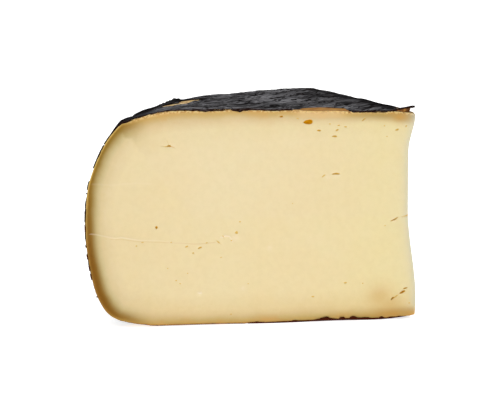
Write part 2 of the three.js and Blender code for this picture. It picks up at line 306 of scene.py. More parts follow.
# Eyes and cracks of the far face: distance from the nose, height and the same sizes.
FAR_EYES = (
    (31.0, 61.0, 1.7, 0.9, 1.2, 8), (37.5, 66.5, 0.7, 0.5, 0.5, 0), (22.0, 47.0, 0.6, 0.4, 0.4, 15),
    (58.0, 28.0, 1.1, 0.5, 0.6, -12), (63.0, 31.0, 0.5, 0.35, 0.3, 0), (84.0, 57.0, 0.8, 0.5, 0.5, 20),
    (90.0, 22.0, 0.6, 0.35, 0.3, 0), (47.0, 74.0, 0.9, 0.4, 0.45, -8), (72.0, 69.0, 0.5, 0.35, 0.3, 0),
    (101.0, 41.0, 0.6, 0.5, 0.35, 0), (40.0, 15.0, 0.5, 0.3, 0.25, 10), (14.0, 24.0, 0.6, 0.35, 0.3, 0),
)
FAR_CRACKS = (
    (((118.0, 45.0), (112.0, 44.2), (106.5, 44.9), (101.0, 44.0), (95.0, 44.3)), 0.3, 0.3),
    (((24.0, 33.0), (21.5, 34.2), (19.0, 34.6), (16.8, 35.9)), 0.4, 0.45),
)

# Places along the near edge where the coating hangs over the cut: the distance from the
# axis at the middle, half the width and how far it hangs.
TOP_DRIPS = ((69.0, 2.3, 0.8), (66.0, 2.0, 0.35), (56.0, 16.0, 0.2), (47.5, 5.0, -0.12), (83.5, 4.0, 0.2),
             (13.5, 3.2, 0.12), (78.0, 6.5, 0.35), (110.8, 4.4, 0.15))
BASE_DRIPS = ((34.9, 1.9, 0.65), (34.6, 5.2, 0.7), (27.9, 1.3, 1.1), (25.7, 2.0, 0.4), (23.4, 1.4, 1.25),
              (19.8, 3.4, 0.75), (13.8, 4.6, 0.3), (12.3, 0.7, 0.5), (6.8, 3.6, 0.45), (53.0, 14.0, 0.1),
              (62.0, 0.8, 0.35), (84.0, 0.7, 0.3), (47.0, 1.2, 0.3))

HANG = 0.08
HANG_RAGS = ((0.07, 1.6), (0.05, 0.7))
DRIP_EDGE = (0.55, 1.0)
DRIP_RAGS = (0.8, 0.35, 1.1)
HANG_LEAST = 0.02
HANG_FORWARD = (0.1, 0.25, 0.3)
OUTER_FORWARD = 0.6
OUTER_EDGE_MARK = 0.6

# The mesh of the cut faces, and the shape of their eyes and cracks.
FACE_STEP = 1.15
FACE_JITTER = 0.3
FACE_GAP = 0.55
EDGE_ROWS = (0.3, 0.75)
EDGE_GAP = 0.24
RIM_MARGIN = 0.16
NOSE_STEP = 1.0
EYE_RINGS = (0.35, 0.65, 0.88, 1.0, 1.18)
EYE_SIDES = (8, 26)
EYE_SIDE_LENGTH = 0.3
EYE_GAP = 0.03
EYE_WOBBLE = 0.14
EYE_LOBES = (0.6, 0.4)
LOBE_SHIFT = 2.3
EYE_FLOOR = 0.55
EYE_TAPER = 0.3
CRACK_STEP = 0.45
CRACK_ROWS = (0, -0.55, 0.55, -1.1, 1.1)
CRACK_GAP = 0.05
CRACK_OPEN = 0.62
CRACK_WOBBLE = 0.5
CRACK_WOBBLE_LENGTH = 1.5
CRACK_ENDS = (0.06, 0.94)
CRACK_END_POWER = 0.6
CRACK_LEAST = 0.15
CRACK_SPREAD = 1.3
CRACK_PIT = (0.05, 0.6)
PIT_LEAST = 0.42
PIT_BY_DEPTH = 0.42
PIT_RIM = (0.82, 1.12)
PIT_FROM_BORDER = (0.1, 0.5)

# The relief of the cut faces: wavelength, seed and share of two waves, and the burr.
FACE_WAVE = 0.16
FACE_WAVES = ((1.0, 34, 5), (0.35, 9, 6))
FACE_CALM = (0, 4)
BURR = 0.16
BURR_DEPTH = (0.05, 0.7)
BURR_RAGS = ((0.5, 1.3, 8),)

# How wide the band of rind is: it is thin on the upper side, and along the near face its width
# is given by distance from the axis for the top and by height for the side.
THIN_RIND = 0.8
THIN_RIND_DEPTH = (0, 1.2)
BAND_WIDTHS = ((6.0, 12.0, 20.0, 26.0, 47.0, 57.0, 75.0, 93.0, 108.0, 116.0),
               (0.94, 0.8, 0.74, 0.92, 1.0, 1.14, 1.27, 1.42, 1.5, 1.0))
SIDE_BAND_WIDTHS = ((0.0, 4.0, 11.0, 20.0, 30.0, 38.0, 44.0, 52.0, 60.0),
                    (1.0, 1.1, 1.18, 1.06, 1.0, 0.96, 0.88, 0.95, 1.0))
BAND_START = 0.6
BAND_SIDE = (92.0, 104.0)
BAND_SIDE_TOP = (58.0, 60.0)

# Tones of the rind along the near face, as bands of the distance from the axis, and where the
# paste is duskier towards the nose, at the base and at the top.
UNDER_STRIP = (24.0, 31.0, 42.5, 48.5)
EVEN_RIM = (10.0, 12.0, 23.0, 25.5)
DUSK_BASE = (6, 20)
DUSK_TOP = (8, 34)
FRESH_EDGE = (0.8, 2.0)
BARE_REACH = (6.0, 20.0)
# Painted shade along the rounded edge of the nose: its reach and the heights where it comes in.
NOSE_SHADE_REACH = 1.7
NOSE_SHADE_HEIGHTS = (1.0, 7.0)

# The torn rind under the lifted coating.
FLAP_STEPS = (44, 30)
FLAP_END = 3.5
FLAP_THICKNESS = 0.5
FLAP_LEAST = 0.12
FLAP_STUCK = (2.8, 4.4)
FLAP_STUCK_RAGS = ((1.4, 1.8, 86),)
FLAP_STUCK_DEPTH = 0.3
FLAP_BELOW = 0.3
FLAP_BELOW_LIFTS = (0, 0.8)
FLAP_BLACK = (5.2, 8.0)
FLAP_DARK = ((0.5, 1.4, 87),)
FLAP_TORN = (0.75, 1.0)
FLAP_RAG_STRETCH = 9
FLAP_RAG_START = 50
FLAP_RAGS = ((0.5, 1.7, 81), (0.3, 0.8, 82))
FLAP_EDGE_WOBBLE = ((0.05, 0.9, 83),)
FLAP_EDGE_POWER = 6
FLAP_CRUMBS = ((0.16, 1.1, 84), (0.1, 0.5, 85))

# The rind's colours by depth below the skin in millimetres, seen on the cut: along the side,
# the top and the base. Colours are screen colours, 0 to 255.
RAMP_REACH = 12.0
SIDE_STOPS = ((0.0, (214, 184, 108)), (0.4, (200, 168, 90)), (0.8, (170, 134, 56)), (1.4, (145, 109, 34)),
              (2.3, (156, 126, 60)), (3.0, (174, 149, 92)), (3.8, (190, 170, 116)), (4.6, (204, 186, 138)),
              (5.3, (212, 195, 148)), (6.3, (222, 203, 157)), (8.5, (229, 211, 168)), (12.0, (234, 217, 173)))
TOP_STOPS = ((0.0, (238, 206, 138)), (0.35, (224, 186, 118)), (0.8, (208, 171, 104)), (1.4, (205, 172, 107)),
             (2.1, (209, 181, 126)), (2.9, (216, 193, 146)), (3.7, (222, 200, 155)), (4.6, (227, 207, 163)),
             (6.2, (231, 214, 170)), (12.0, (234, 217, 175)))
BASE_STOPS = ((0.0, (84, 44, 24)), (0.25, (136, 92, 48)), (0.5, (188, 152, 86)), (1.0, (200, 168, 100)),
              (1.6, (201, 173, 111)), (2.0, (204, 178, 119)), (2.8, (211, 187, 134)), (3.6, (218, 194, 145)),
              (4.4, (223, 201, 152)), (6.0, (229, 209, 161)), (12.0, (234, 217, 173)))
# Tint of the paste by the distance from the axis as a share of the radius.
SPREAD_TINT = ((0.0, (0.975, 1.0, 0.95, 1)), (0.1, (0.985, 1.0, 0.925, 1)), (0.2, (0.99, 0.995, 0.96, 1)),
               (0.35, (0.995, 0.995, 0.995, 1)), (0.6, (0.995, 0.995, 1.0, 1)),
               (0.75, (0.99, 0.982, 0.982, 1)), (0.85, (0.975, 0.962, 0.952, 1)),
               (1.0, (0.965, 0.95, 0.94, 1)))

# Mottling: size, detail, roughness, start, full and tint of each layer.
MOTTLES = (
    (26, 3, 0.55, 0.3, 0.7, (1.0, 0.985, 0.955, 1)),
    (2.2, 4, 0.6, 0.3, 0.75, (0.972, 0.966, 0.945, 1)),
    (0.7, 2, 0.55, 0.62, 0.8, (0.985, 0.97, 0.92, 1)),
)

# Noises of the materials: size, detail, roughness, and then stretch, distortion and turn.
FOLD_TURN = math.radians(44)
FOLD_STRETCH = (0.4, 1, 1)
NOISES = dict(
    wobble=(9, 3), brown=(3.5, 4, 0.6), bare=(2.0, 3, 0.6), fresh=(2.6, 4, 0.6), grain=(1.4, 3),
    fine_grain=(0.45, 2), scrape=(1.1, 2, 0.5, (0.08, 0.08, 1.0)),
    streak=(3.6, 5, 0.6, (0.16, 1, 1), 0.5, FOLD_TURN),
    fine_streak=(1.7, 4, 0.66, (0.24, 1, 1), 0.5, FOLD_TURN),
    crest=(11, 4, 0.6, FOLD_STRETCH, 1.0, FOLD_TURN), trough=(8, 3, 0.55, FOLD_STRETCH, 1.2, FOLD_TURN),
    crumple=(4.2, 5, 0.6, (1, 1, 1), 1.2), fine_crumple=(1.1, 3), torn=(1.2, 4, 0.65),
    torn_relief=(0.7, 4, 0.6), floor=(400, 2),
)

# Patches of noise: size, detail, roughness, start, full and the values there.
PATCHES = dict(
    orange=(15, 3, 0.55, 0.48, 0.66, 0.0, 0.5), serrated=(1.0, 2, 0.5, 0.46, 0.54),
    crumbs=(0.85, 2, 0.5, 0.53, 0.58), flecks=(1.7, 3, 0.6, 0.56, 0.62, 0.0, 0.65),
    paste_rough=(5, 3, 0.55, 0.3, 0.7, 0.5, 0.64), cloudy=(17, 3, 0.5, 0.38, 0.6, 0.45, 1.0),
    rust=(6, 3, 0.55, 0.58, 0.75, 0.0, 0.35), coat_rough=(6, 3, 0.55, 0.35, 0.65, 0.5, 0.68),
    burnt=(1.3, 2, 0.5, 0.6, 0.66),
)

# Depths below the skin in millimetres: start, end and the values there.
DEPTHS = dict(
    wobble=(0.3, 2.5), low_side=(0.9, 4.6, 0.9, 0.0), low_side_start=(0.3, 1.1, 0.85, 1.0),
    orange=(0.8, 4.2, 1.0, 0.0), dusk=(1.5, 5.5, 0.65, 0.0), strip_start=(0.05, 0.4),
    strip=(2.0, 3.6, 0.75, 0.0), burr=(0.5, 1.2, 0.75, 0.0), crumbs=(0.12, 0.5, 0.85, 0.0),
)
WOBBLE_REACH = 1.6
BURR_LEFT = (("under_strip", 0.35), ("even_rim", 0.2))
ALONG_TOP_POWER = 1.2
PIT_SHOWN = (0.05, 0.6, 0.0, 0.95)
DEEP_PIT_SHOWN = (0.62, 1.0)
PALE_SHARE = 0.75
NOSE_SHADE_SHARE = 0.9
GRAIN_SHARES = (("grain", 0.5), ("fine_grain", 0.2))
BARE_ROUGHER = 0.25

# The dust and painted sheen on the coating: how much of it the darker places lose, what the streaks add as
# dust and painted reflections, what the crest lines and ridges add as painted highlights, and what the
# troughs take away as painted shade.
DARKER_COAT_SHARE = 0.88
STREAK_EDGE = (0.45, 0.55)
STREAK_SHARE = 0.5
FINE_STREAK_EDGE = (0.45, 0.57)
FINE_STREAK_SHARE = 0.4
CREST_SHEEN = (0.004, 0.03, 0.5, 0.0)
TROUGH_SHADE = (0.008, 0.045, 0.05, 1.0)
RIDGE_SHEEN = 0.25
SHEEN_SHARE = 0.75
UNDERSIDE_SHARE = 0.6
FINE_CRUMPLE_SHARE = 0.2

# Bumps: height in millimetres and strength.
GRAIN_BUMP = (0.11, 0.8)
SCRAPE_BUMP = (0.035, 0.7)
COAT_BUMP = (1.1, 0.9)
TORN_BUMP = (0.2, 0.9)

# Tones of the paste and its rind.
LOW_SIDE_TONE = (130, 84, 12)
ORANGE_TONE = (212, 160, 92)
DUSK_TONE = (171, 142, 90)
UNDER_STRIP_TONE = (223, 191, 139)
BURR_TONES = ((186, 140, 82), (234, 206, 144))
CRUMB_TONE = (52, 32, 20)
OCHRE_TONE = (200, 152, 78)
PALE_TONE = (244, 226, 204)
# The colour of the painted shade on the nose's rounded edge.
NOSE_SHADE_TONE = (203, 201, 182)
PIT_TONE = (222, 183, 82)
DEEP_PIT_TONE = (223, 163, 0)
BROWN_RIND = ((0.3, (138, 92, 40)), (0.5, (160, 112, 49)), (0.62, (171, 124, 59)),
              (0.8, (188, 144, 76)))
BARE_RIND = ((0.3, (116, 84, 40)), (0.5, (168, 134, 76)), (0.7, (200, 172, 116)))
FRESH_RIND = ((0.38, (150, 108, 60)), (0.46, (202, 168, 112)), (0.6, (222, 194, 144)),
              (0.75, (234, 212, 166)))
FLECK_TONE = (84, 56, 30)

# Tones of the coating and of the torn rind.
COAT_BLACK = (19, 17, 17)
# The light grey of the coating is partly dust and partly painted sheen.
COAT_DUST_AND_SHEEN = (126, 125, 128)
SHEEN_TONE = (66, 70, 76)
RUST_TONE = (50, 32, 27)
EDGE_TONE = (36, 15, 8)
BASE_EDGE_TONE = (84, 28, 10)
UNDERSIDE_TONE = (44, 27, 16)
TORN_TONES = ((0.25, (60, 30, 8)), (0.42, (122, 72, 22)), (0.56, (160, 108, 40)),
              (0.7, (214, 172, 96)))
BURNT_TONES = ((22, 13, 9), (204, 160, 84))

# The angle above which an edge is shaded as a sharp one, for each piece, in degrees.
SHARP_PASTE = 48
SHARP_COATING = 50
SHARP_TORN_RIND = 45

# The camera, fitted to the outline: place, heading and lens.
CAMERA_PLACE = (-110.95, -534.6, 139.8)
CAMERA_HEADING = math.radians(5.0)
CAMERA_PITCH = math.radians(9.81)
CAMERA_ROLL = math.radians(-0.56)
CAMERA_LENS = 100.8
CAMERA_SENSOR = 36.0
CAMERA_CLIP = (0.01, 100.0)

# The studio.
FLOOR_HALF = 14.0
FLOOR_BELOW = -0.0004
FLOOR_TONES = ((222, 222, 221), (226, 226, 226))
WHITE = (255, 255, 255)
FLOOR_GLOW = 0.75
WORLD_LOW = (0.42, 0.42, 0.43, 1)
WORLD_HIGH = (2.3, 2.3, 2.3, 1)
WORLD_RISE = (0.15, 0.85)
WORLD_STRENGTH = 0.477
LIGHT_TARGET = (0, 0, 0.04)
LIGHTS = (
    ("key", (-0.75, -1.15, 1.1), 1.3, 2.3),
    ("fill", (0.95, -0.85, 0.75), 1.3, 1.0),
    ("back", (0.2, 1.25, 1.15), 1.2, 1.8),
)


# Steps, bands, spots and noise.

def smooth(low, high, value):
    """Eased step from 0 below low to 1 above high."""
    t = np.clip((np.asarray(value, float) - low) / (high - low), 0, 1)
    return t * t * (3 - 2 * t)


def fade(low, high, value):
    """Eased step from 1 below low to 0 above high."""
    return 1 - smooth(low, high, value)


def band(limits, value):
    """1 between the two inner limits, eased to 0 at the outer ones."""
    return smooth(*limits[:2], value) * fade(*limits[2:], value)


def mixed(first, second, share):
    return first + (second - first) * share


def unit(rows):
    return rows / np.linalg.norm(rows, axis=1)[:, None]


def spot(points, place, reach):
    """Height of a soft round or oval spot in the first two coordinates, 1 at its middle."""
    return np.exp(-(((points[:, :2] - place) / reach) ** 2).sum(axis=1))


TURNED = np.array(((0.68, -0.56, 0.47), (0.61, 0.79, 0.06), (-0.41, 0.25, 0.88)))
SEED_STEP = 37.7
LATTICE_DIRECTION = np.array((127.1, 311.7, 74.7))
SEED_TURN = 19.19
LATTICE_SPREAD = 43758.5453


def lattice(cells):
    """A seeded value between -1 and 1 for each cell, the same as the solid's."""
    value = np.sin(cells @ LATTICE_DIRECTION + NOISE_SEED * SEED_TURN) * LATTICE_SPREAD
    return 2 * (value - np.floor(value)) - 1


def noise(points, wavelength):
    """Smooth seeded noise between -1 and 1, the same as the solid's."""
    cell = points / wavelength
    base = np.floor(cell)
    t = cell - base
    ease = t * t * (3 - 2 * t)
    total = np.zeros(len(points))
    for corner in range(8):
        step = np.array((corner & 1, corner >> 1 & 1, corner >> 2 & 1))
        weight = np.prod(np.where(step == 1, ease, 1 - ease), axis=1)
        total += weight * lattice(base + step)
    return total


def other_noise(points, wavelength, seed):
    """Noise on a lattice turned away from the axes and moved by the seed."""
    return noise(points @ TURNED.T + seed * SEED_STEP, wavelength)


def layered(points, layers):
    """The sum of noises, each given as its share, wavelength and seed."""
    return sum(share * other_noise(points, wavelength, seed) for share, wavelength, seed in layers)


def on_a_line(along):
    """Points of a line, for noise along it."""
    return np.column_stack([along, np.zeros((len(along), 2))])


def line_noise(along, wavelength, seed):
    return other_noise(on_a_line(along), wavelength, seed)


# The wheel's outline.

def bezier(start, leave, arrive, end):
    t = np.linspace(0, 1, CURVE_POINTS)[:, None]
    return (1 - t) ** 3 * start + 3 * (1 - t) ** 2 * t * leave + 3 * (1 - t) * t * t * arrive + t ** 3 * end


def wheel_outline():
    """Half outline (radius, height) from the top's middle over the side to the base's middle,
    and its rows at the crest, the shoulder's edge, the widest place, the base and the end."""
    middle = np.array((0.0, TOP_MIDDLE_HEIGHT))
    crest = np.array((CREST_RADIUS, CREST_HEIGHT))
    widest = np.array((WHEEL_RADIUS, WIDEST_HEIGHT))
    base_edge = np.array((BASE_FLAT_RADIUS, 0.0))
    stretches = (
        bezier(middle, middle + TOP_EASE, crest - (CREST_IN, 0), crest),
        bezier(crest, crest + (CREST_OUT, 0), SHOULDER_EDGE + SHOULDER_LEAN, SHOULDER_EDGE),
        bezier(SHOULDER_EDGE, SHOULDER_EDGE + SIDE_LEAN, widest + (0, SIDE_RISE), widest),
        bezier(widest, widest - (0, BASE_CORNER_UP), base_edge + (BASE_CORNER_OUT, 0), base_edge),
        np.linspace(base_edge, (0.0, 0.0), CURVE_POINTS),
    )
    rows = [stretches[0]] + [stretch[1:] for stretch in stretches[1:]]
    stations = np.cumsum([len(stretch) for stretch in rows]) - 1
    return np.concatenate(rows), stations


OUTLINE, STATIONS = wheel_outline()
ARC = np.concatenate([[0], np.cumsum(np.linalg.norm(np.diff(OUTLINE, axis=0), axis=1))])
ARC_CREST, ARC_EDGE, ARC_WIDEST, ARC_BASE, ARC_END = ARC[STATIONS]
TANGENT = unit(np.gradient(OUTLINE, ARC, axis=0))
TOP_ROWS = OUTLINE[: STATIONS[0] + 1]

# Steps of the meshes: up to which arc, between the rings and between the columns.
LIP_ARCS = (ARC_CREST + 6.0, ARC_CREST + 17.0)
PASTE_STEPS = ((ARC_EDGE, 1.0, 1.5), (ARC_BASE, 1.1, 2.6), (math.inf, 2.4, 4.5))
COAT_STEPS = ((LIP_ARCS[0], 0.7, 0.9), (LIP_ARCS[1], 0.38, 0.55), (ARC_EDGE, 0.7, 0.9),
              (ARC_BASE, 0.8, 1.3), (math.inf, 0.7, 4.0))

# Bands and steps along the outline: the bulging side, its upper half where the dark rind is
# thin, its lower half where the rind is darkest, where small chips are, and where the coating
# doesn't hang over the cut.
SIDE = (ARC_EDGE - 11, ARC_EDGE + 3, ARC_BASE - 22, ARC_BASE - 2)
THIN_SIDE = (ARC_EDGE - 4, ARC_EDGE + 6, ARC_WIDEST - 24, ARC_WIDEST + 2)
LOW_SIDE = (ARC_WIDEST - 22, ARC_WIDEST + 18, ARC_BASE - 30, ARC_BASE - 2)
CHIPPED_SIDE = (ARC_EDGE - 2, ARC_EDGE + 10, ARC_BASE - 4, ARC_BASE + 8)
FLUSH_SIDE = (ARC_EDGE - 1, ARC_EDGE + 3, ARC_BASE - 14, ARC_BASE - 4)
CROWDED_FROM = (ARC_CREST, ARC_EDGE + 6)
TOP_END = (ARC_EDGE - 12, ARC_EDGE + 10)
CALM_FROM = (ARC_EDGE - 16, ARC_EDGE - 3)
BASE_START = (ARC_BASE - 12, ARC_BASE)
CLEAR_END = ARC_EDGE - 4
HIGH_CRUMBS_END = (ARC_EDGE + 12, ARC_WIDEST)
SHORT_FROM = ARC_BASE - 26
# The coating on the shoulder and down the side is darkened as painted shade.
DARK_SHOULDER = (ARC_EDGE - 18, ARC_EDGE - 7)
DARK_SHOULDER_END = (ARC_EDGE + 4, ARC_EDGE + 20)
DARK_SIDE_SHARE = 0.7


def top_height(radius):
    return np.interp(radius, TOP_ROWS[:, 0], TOP_ROWS[:, 1])


def step_at(arc, steps):
    return next(pair for end, *pair in steps if arc < end)


def lattice_rings(steps, crowding=0.0):
    """Rings of points over the whole rind, from the nose's top round to its bottom.

    On the side the columns are crowded towards the cuts. It returns a table with a row for
    each point (x, y, z, normal, arc, share of the wedge's angle), the rings and the triangles."""
    arcs = [0.0]
    while arcs[-1] < ARC_END:
        arcs.append(arcs[-1] + step_at(arcs[-1], steps)[0])
    arcs = np.array(arcs) * ARC_END / arcs[-1]
    rows, rings, count = [], [], 0
    for arc in arcs:
        radius = np.interp(arc, ARC, OUTLINE[:, 0])
        pieces = max(1, round(radius * WEDGE_ANGLE / step_at(arc, steps)[1])) if radius > TINY else 0
        share = np.linspace(0, 1, pieces + 1)
        crowded = crowding * smooth(*CROWDED_FROM, arc)
        share = share - crowded * np.sin(2 * math.pi * share) / (2 * math.pi)
        psi = share * WEDGE_ANGLE
        shown = max(radius, FAN_RADIUS)
        reach = NOSE_PAST_AXIS * np.cos(psi) + np.sqrt(shown ** 2 - (NOSE_PAST_AXIS * np.sin(psi)) ** 2)
        reach = reach * min(1.0, radius / FAN_RADIUS)
        x = NOSE_PAST_AXIS - reach * np.cos(psi)
        y = reach * np.sin(psi)
        around = np.hypot(x, y)
        height = np.full(len(x), np.interp(arc, ARC, OUTLINE[:, 1]))
        if arc < ARC_CREST:
            height = top_height(around)
        out, up = (np.interp(arc, ARC, TANGENT[:, axis]) for axis in (0, 1))
        normal = unit(np.column_stack([-up * x / around, -up * y / around, np.full(len(x), out)]))
        rows.append(np.column_stack([x, y, height, normal, np.full(len(x), arc), share]))
        rings.append(np.arange(count, count + len(x)))
        count += len(x)
    triangles = [zip_rings(upper, lower) for upper, lower in zip(rings, rings[1:])]
    return np.concatenate(rows), rings, np.concatenate(triangles)


def zip_rings(upper, lower):
    """Triangles between two rings with their own numbers of points, facing out."""
    upper_middle, lower_middle = (
        (np.arange(len(ring) - 1) + 0.5) / max(len(ring) - 1, 1) for ring in (upper, lower))
    facing = np.searchsorted(lower_middle, upper_middle)
    down = np.column_stack([upper[:-1], upper[1:], lower[facing]])
    facing = np.searchsorted(upper_middle, lower_middle, side="right")
    up = np.column_stack([upper[facing], lower[1:], lower[:-1]])
    return np.concatenate([down, up])


# The forms of the wedge.

def axis_distance(points):
    return np.hypot(points[:, 0], points[:, 1])


def cut_distance(points, share):
    """Distance from the nearer cut, round the wheel."""
    return np.minimum(share, 1 - share) * WEDGE_ANGLE * axis_distance(points)


def from_nose(points):
    """Distance from the nose along the wedge's middle line."""
    return (points[:, :2] - NOSE) @ ALONG_MIDDLE


def from_far_cut(points):
    return -(points[:, :2] - NOSE) @ OUT_OF_FAR


def bump(points, radius, degrees, round_reach, across_reach):
    """Height of a soft bump round a place on the wheel, 1 at its middle."""
    angle = np.arctan2(points[:, 1], -points[:, 0]) - math.radians(degrees)
    along = radius * angle / round_reach
    across = (axis_distance(points) - radius) / across_reach
    return np.exp(-along * along - across * across)


def aged(points):
    """Points of the turned surface pushed in or out, as the solid's are and a little more."""
    radius = axis_distance(points)
    sideways = smooth(BASE_FLAT_RADIUS, WHEEL_RADIUS, radius)
    flat = points[:, :2] / np.maximum(radius, TINY)[:, None]
    outward = unit(np.column_stack([flat * sideways[:, None], 1 - sideways]))
    waves = WAVE_HEIGHT * noise(points, WAVE_LENGTH) + CRUMPLE_HEIGHT * noise(points, CRUMPLE_LENGTH)
    push = smooth(*WAVE_HEIGHTS, points[:, 2]) * waves
    high = points[:, 2] > WIDEST_HEIGHT
    for *place, height in SWELLS:
        push += high * height * bump(points, *place)
    return points + outward * push[:, None]


def hollow(distance, height):
    rise = smooth(*HOLLOW_BOTTOM, height)
    fall = 1 - (1 - HOLLOW_LEFT_AT_TOP) * smooth(*HOLLOW_TOP, height)
    return HOLLOW_DEPTH * rise * fall * fade(0, HOLLOW_REACH, distance)


def hollowed(points):
    """Points moved along the near face with the hollow of the far one."""
    moved = points.copy()
    distance = np.maximum((points[:, :2] - NOSE) @ ALONG_FAR, 0)
    share = fade(0, HOLLOW_FADE, from_far_cut(points))
    moved[:, 0] -= hollow(distance, points[:, 2]) / math.sin(WEDGE_ANGLE) * share
    return moved


def before_hollow(spots):
    """Places on the finished near face, moved to where they are before the nose's hollow."""
    spots = np.asarray(spots, float)
    flat = spots.copy()
    for _ in range(HOLLOW_ROUNDS):
        points = np.column_stack([-flat[:, 0], np.zeros(len(flat)), flat[:, 1]])
        flat[:, 0] = spots[:, 0] - points[:, 0] + hollowed(points)[:, 0]
    return flat


def base_rise(reach):
    """How high the worn bottom corner of the nose stands off the floor."""
    return WORN_BOTTOM["drop"] * np.clip(1 - reach / WORN_BOTTOM["run"], 0, 1) ** WORN_BOTTOM["power"]


def worn(points):
    """Points of the paste with the worn corners and the rounded edge of the nose."""
    moved = points.copy()
    reach = from_nose(points)
    ceiling = TOP_MIDDLE_HEIGHT - WORN_TOP["drop"] * (1 - reach / WORN_TOP["run"])
    near_top = reach < WORN_TOP["run"]
    moved[near_top, 2] = np.minimum(moved[near_top, 2], ceiling[near_top])
    rise = base_rise(reach)
    lowest = np.maximum(moved[:, 2], rise + INSET * (reach > WORN_TOP["run"]))
    moved[:, 2] = np.where(rise > 0, lowest, moved[:, 2])
    share = np.clip(1 - reach / NOSE_ROUND_REACH, 0, 1) ** 2
    low = np.clip(1 - points[:, 2] / LOW_NOSE_HEIGHT, 0, 1) ** 2
    moved[:, :2] += ((NOSE_ROUND + LOW_NOSE_BACK * low) * share)[:, None] * ALONG_MIDDLE
    return moved


def sagged(points):
    """Points of the base let down a little along the near cut."""
    moved = points.copy()
    near = fade(0, SAG_BACK, points[:, 1]) * fade(*SAG_HEIGHTS, points[:, 2])
    for place, across, drop in BASE_SAGS:
        moved[:, 2] -= drop * near * np.exp(-((-points[:, 0] - place) / across) ** 2)
    return moved


def inset(points):
    """How far the rind lies below the solid's skin: nothing at the top's near edge, where the
    coating lies on the cut outline, and the coating's thickness elsewhere."""
    radius, back, height = axis_distance(points), points[:, 1], points[:, 2]
    bare_base = band(BARE_BASE, radius) * (height < BASE_TOP)
    kept_out = np.maximum(bare_base, band(LOW_CORNER, height)) * fade(*KEPT_OUT_BACK, back)
    swell = np.exp(-((height - LOW_SWELL["height"]) / LOW_SWELL["across"]) ** 2)
    swell = swell * fade(*LOW_SWELL["back"], back) * smooth(*LOW_SWELL["radii"], radius)
    low = INSET * fade(*INSET_HEIGHTS, height) * (1 - kept_out)
    return np.maximum(low, COAT_TOP * smooth(*INSET_BACK, back)) - LOW_SWELL["push"] * swell


# Distances in a plane.

def edge_distance(points, start, end):
    """Distance from one straight edge, and the share of the way along it."""
    edge = end - start
    t = np.clip(((points - start) @ edge) / (edge @ edge), 0, 1)
    return np.linalg.norm(points - start - t[:, None] * edge, axis=1), t


def polygon_distance(points, corners):
    """Signed distance from a closed outline, positive outside it."""
    corners = np.asarray(corners, float)
    closest = np.full(len(points), np.inf)
    inside = np.zeros(len(points), bool)
    for start, end in zip(corners, np.roll(corners, -1, axis=0)):
        closest = np.minimum(closest, edge_distance(points, start, end)[0])
        crosses = (start[1] > points[:, 1]) != (end[1] > points[:, 1])
        if crosses.any():
            slope = (end[1] - start[1]) or 1e-12
            at = start[0] + (points[:, 1] - start[1]) / slope * (end[0] - start[0])
            inside ^= crosses & (points[:, 0] < at)
    return np.where(inside, -closest, closest)


def line_lengths(line):
    """Distances of an open line's corners from its start."""
    return np.concatenate([[0], np.cumsum(np.linalg.norm(np.diff(line, axis=0), axis=1))])


def line_distance(points, line):
    """Distance from an open line, and the share of the way along it."""
    line = np.asarray(line, float)
    lengths = line_lengths(line)
    closest = np.full(len(points), np.inf)
    share = np.zeros(len(points))
    for number, (start, end) in enumerate(zip(line, line[1:])):
        distance, t = edge_distance(points, start, end)
        nearer = distance < closest
        closest = np.where(nearer, distance, closest)
        there = (lengths[number] + t * (lengths[number + 1] - lengths[number])) / lengths[-1]
        share = np.where(nearer, there, share)
    return closest, share


def torn_spot_distance(points):
    """About the distance from the small torn spot, negative inside it."""
    across, along = ((points[:, :2] - SPOT_PLACE) / SPOT_HALVES).T
    return (np.hypot(across, along) - 1) * SPOT_HALVES[0]


# The cut faces. The near one is seen mirrored, so its tilts are turned the other way.

def eye_rim(angle, seed):
    two, three = EYE_LOBES
    lobes = two * np.sin(2 * angle + seed) + three * np.sin(3 * angle + LOBE_SHIFT * seed)
    return 1 + EYE_WOBBLE * lobes


def eye_shape(points, eye, seed):
    """How far out a point is in an eye: 0 at its middle, 1 at its rim."""
    middle_u, middle_v, half_u, half_v, _, tilt = eye
    turn = -math.radians(tilt)
    du = points[:, 0] - middle_u
    dv = points[:, 1] - middle_v
    along = (du * math.cos(turn) + dv * math.sin(turn)) / half_u
    across = (dv * math.cos(turn) - du * math.sin(turn)) / half_v
    across = np.where(across < 0, across / EYE_FLOOR, across)
    across = across / (1 - EYE_TAPER * np.clip(along, -1, 1))
    return np.hypot(along, across) / eye_rim(np.arctan2(across, along), seed)


def eye_points(eye, seed):
    """Points of the rings of one eye, on the plane of its face."""
    middle_u, middle_v, half_u, half_v, _, tilt = eye
    turn = -math.radians(tilt)
    sides = round(2 * math.pi * max(half_u, half_v) / EYE_SIDE_LENGTH)
    sides = max(EYE_SIDES[0], min(EYE_SIDES[1], sides))
    rows = [np.array([[middle_u, middle_v]])]
    for ring in EYE_RINGS:
        angle = (np.arange(sides) + 0.5 * (ring > 0.5)) * 2 * math.pi / sides
        out = ring * eye_rim(angle, seed)
        along = out * half_u * np.cos(angle)
        across = out * half_v * np.sin(angle) * (1 - EYE_TAPER * np.clip(out * np.cos(angle), -1, 1))
        across = np.where(across < 0, across * EYE_FLOOR, across)
        rows.append(np.column_stack([
            middle_u + along * math.cos(turn) - across * math.sin(turn),
            middle_v + along * math.sin(turn) + across * math.cos(turn)]))
    return np.concatenate(rows)


def line_points(line, half):
    """Rows of points along a line and beside it."""
    line = np.asarray(line, float)
    lengths = line_lengths(line)
    at = np.linspace(0, lengths[-1], max(2, round(lengths[-1] / CRACK_STEP)) + 1)
    middle = np.column_stack([np.interp(at, lengths, line[:, axis]) for axis in (0, 1)])
    tangent = unit(np.gradient(middle, axis=0))
    side = np.column_stack([-tangent[:, 1], tangent[:, 0]])
    return np.concatenate([middle + side * half * out for out in CRACK_ROWS])


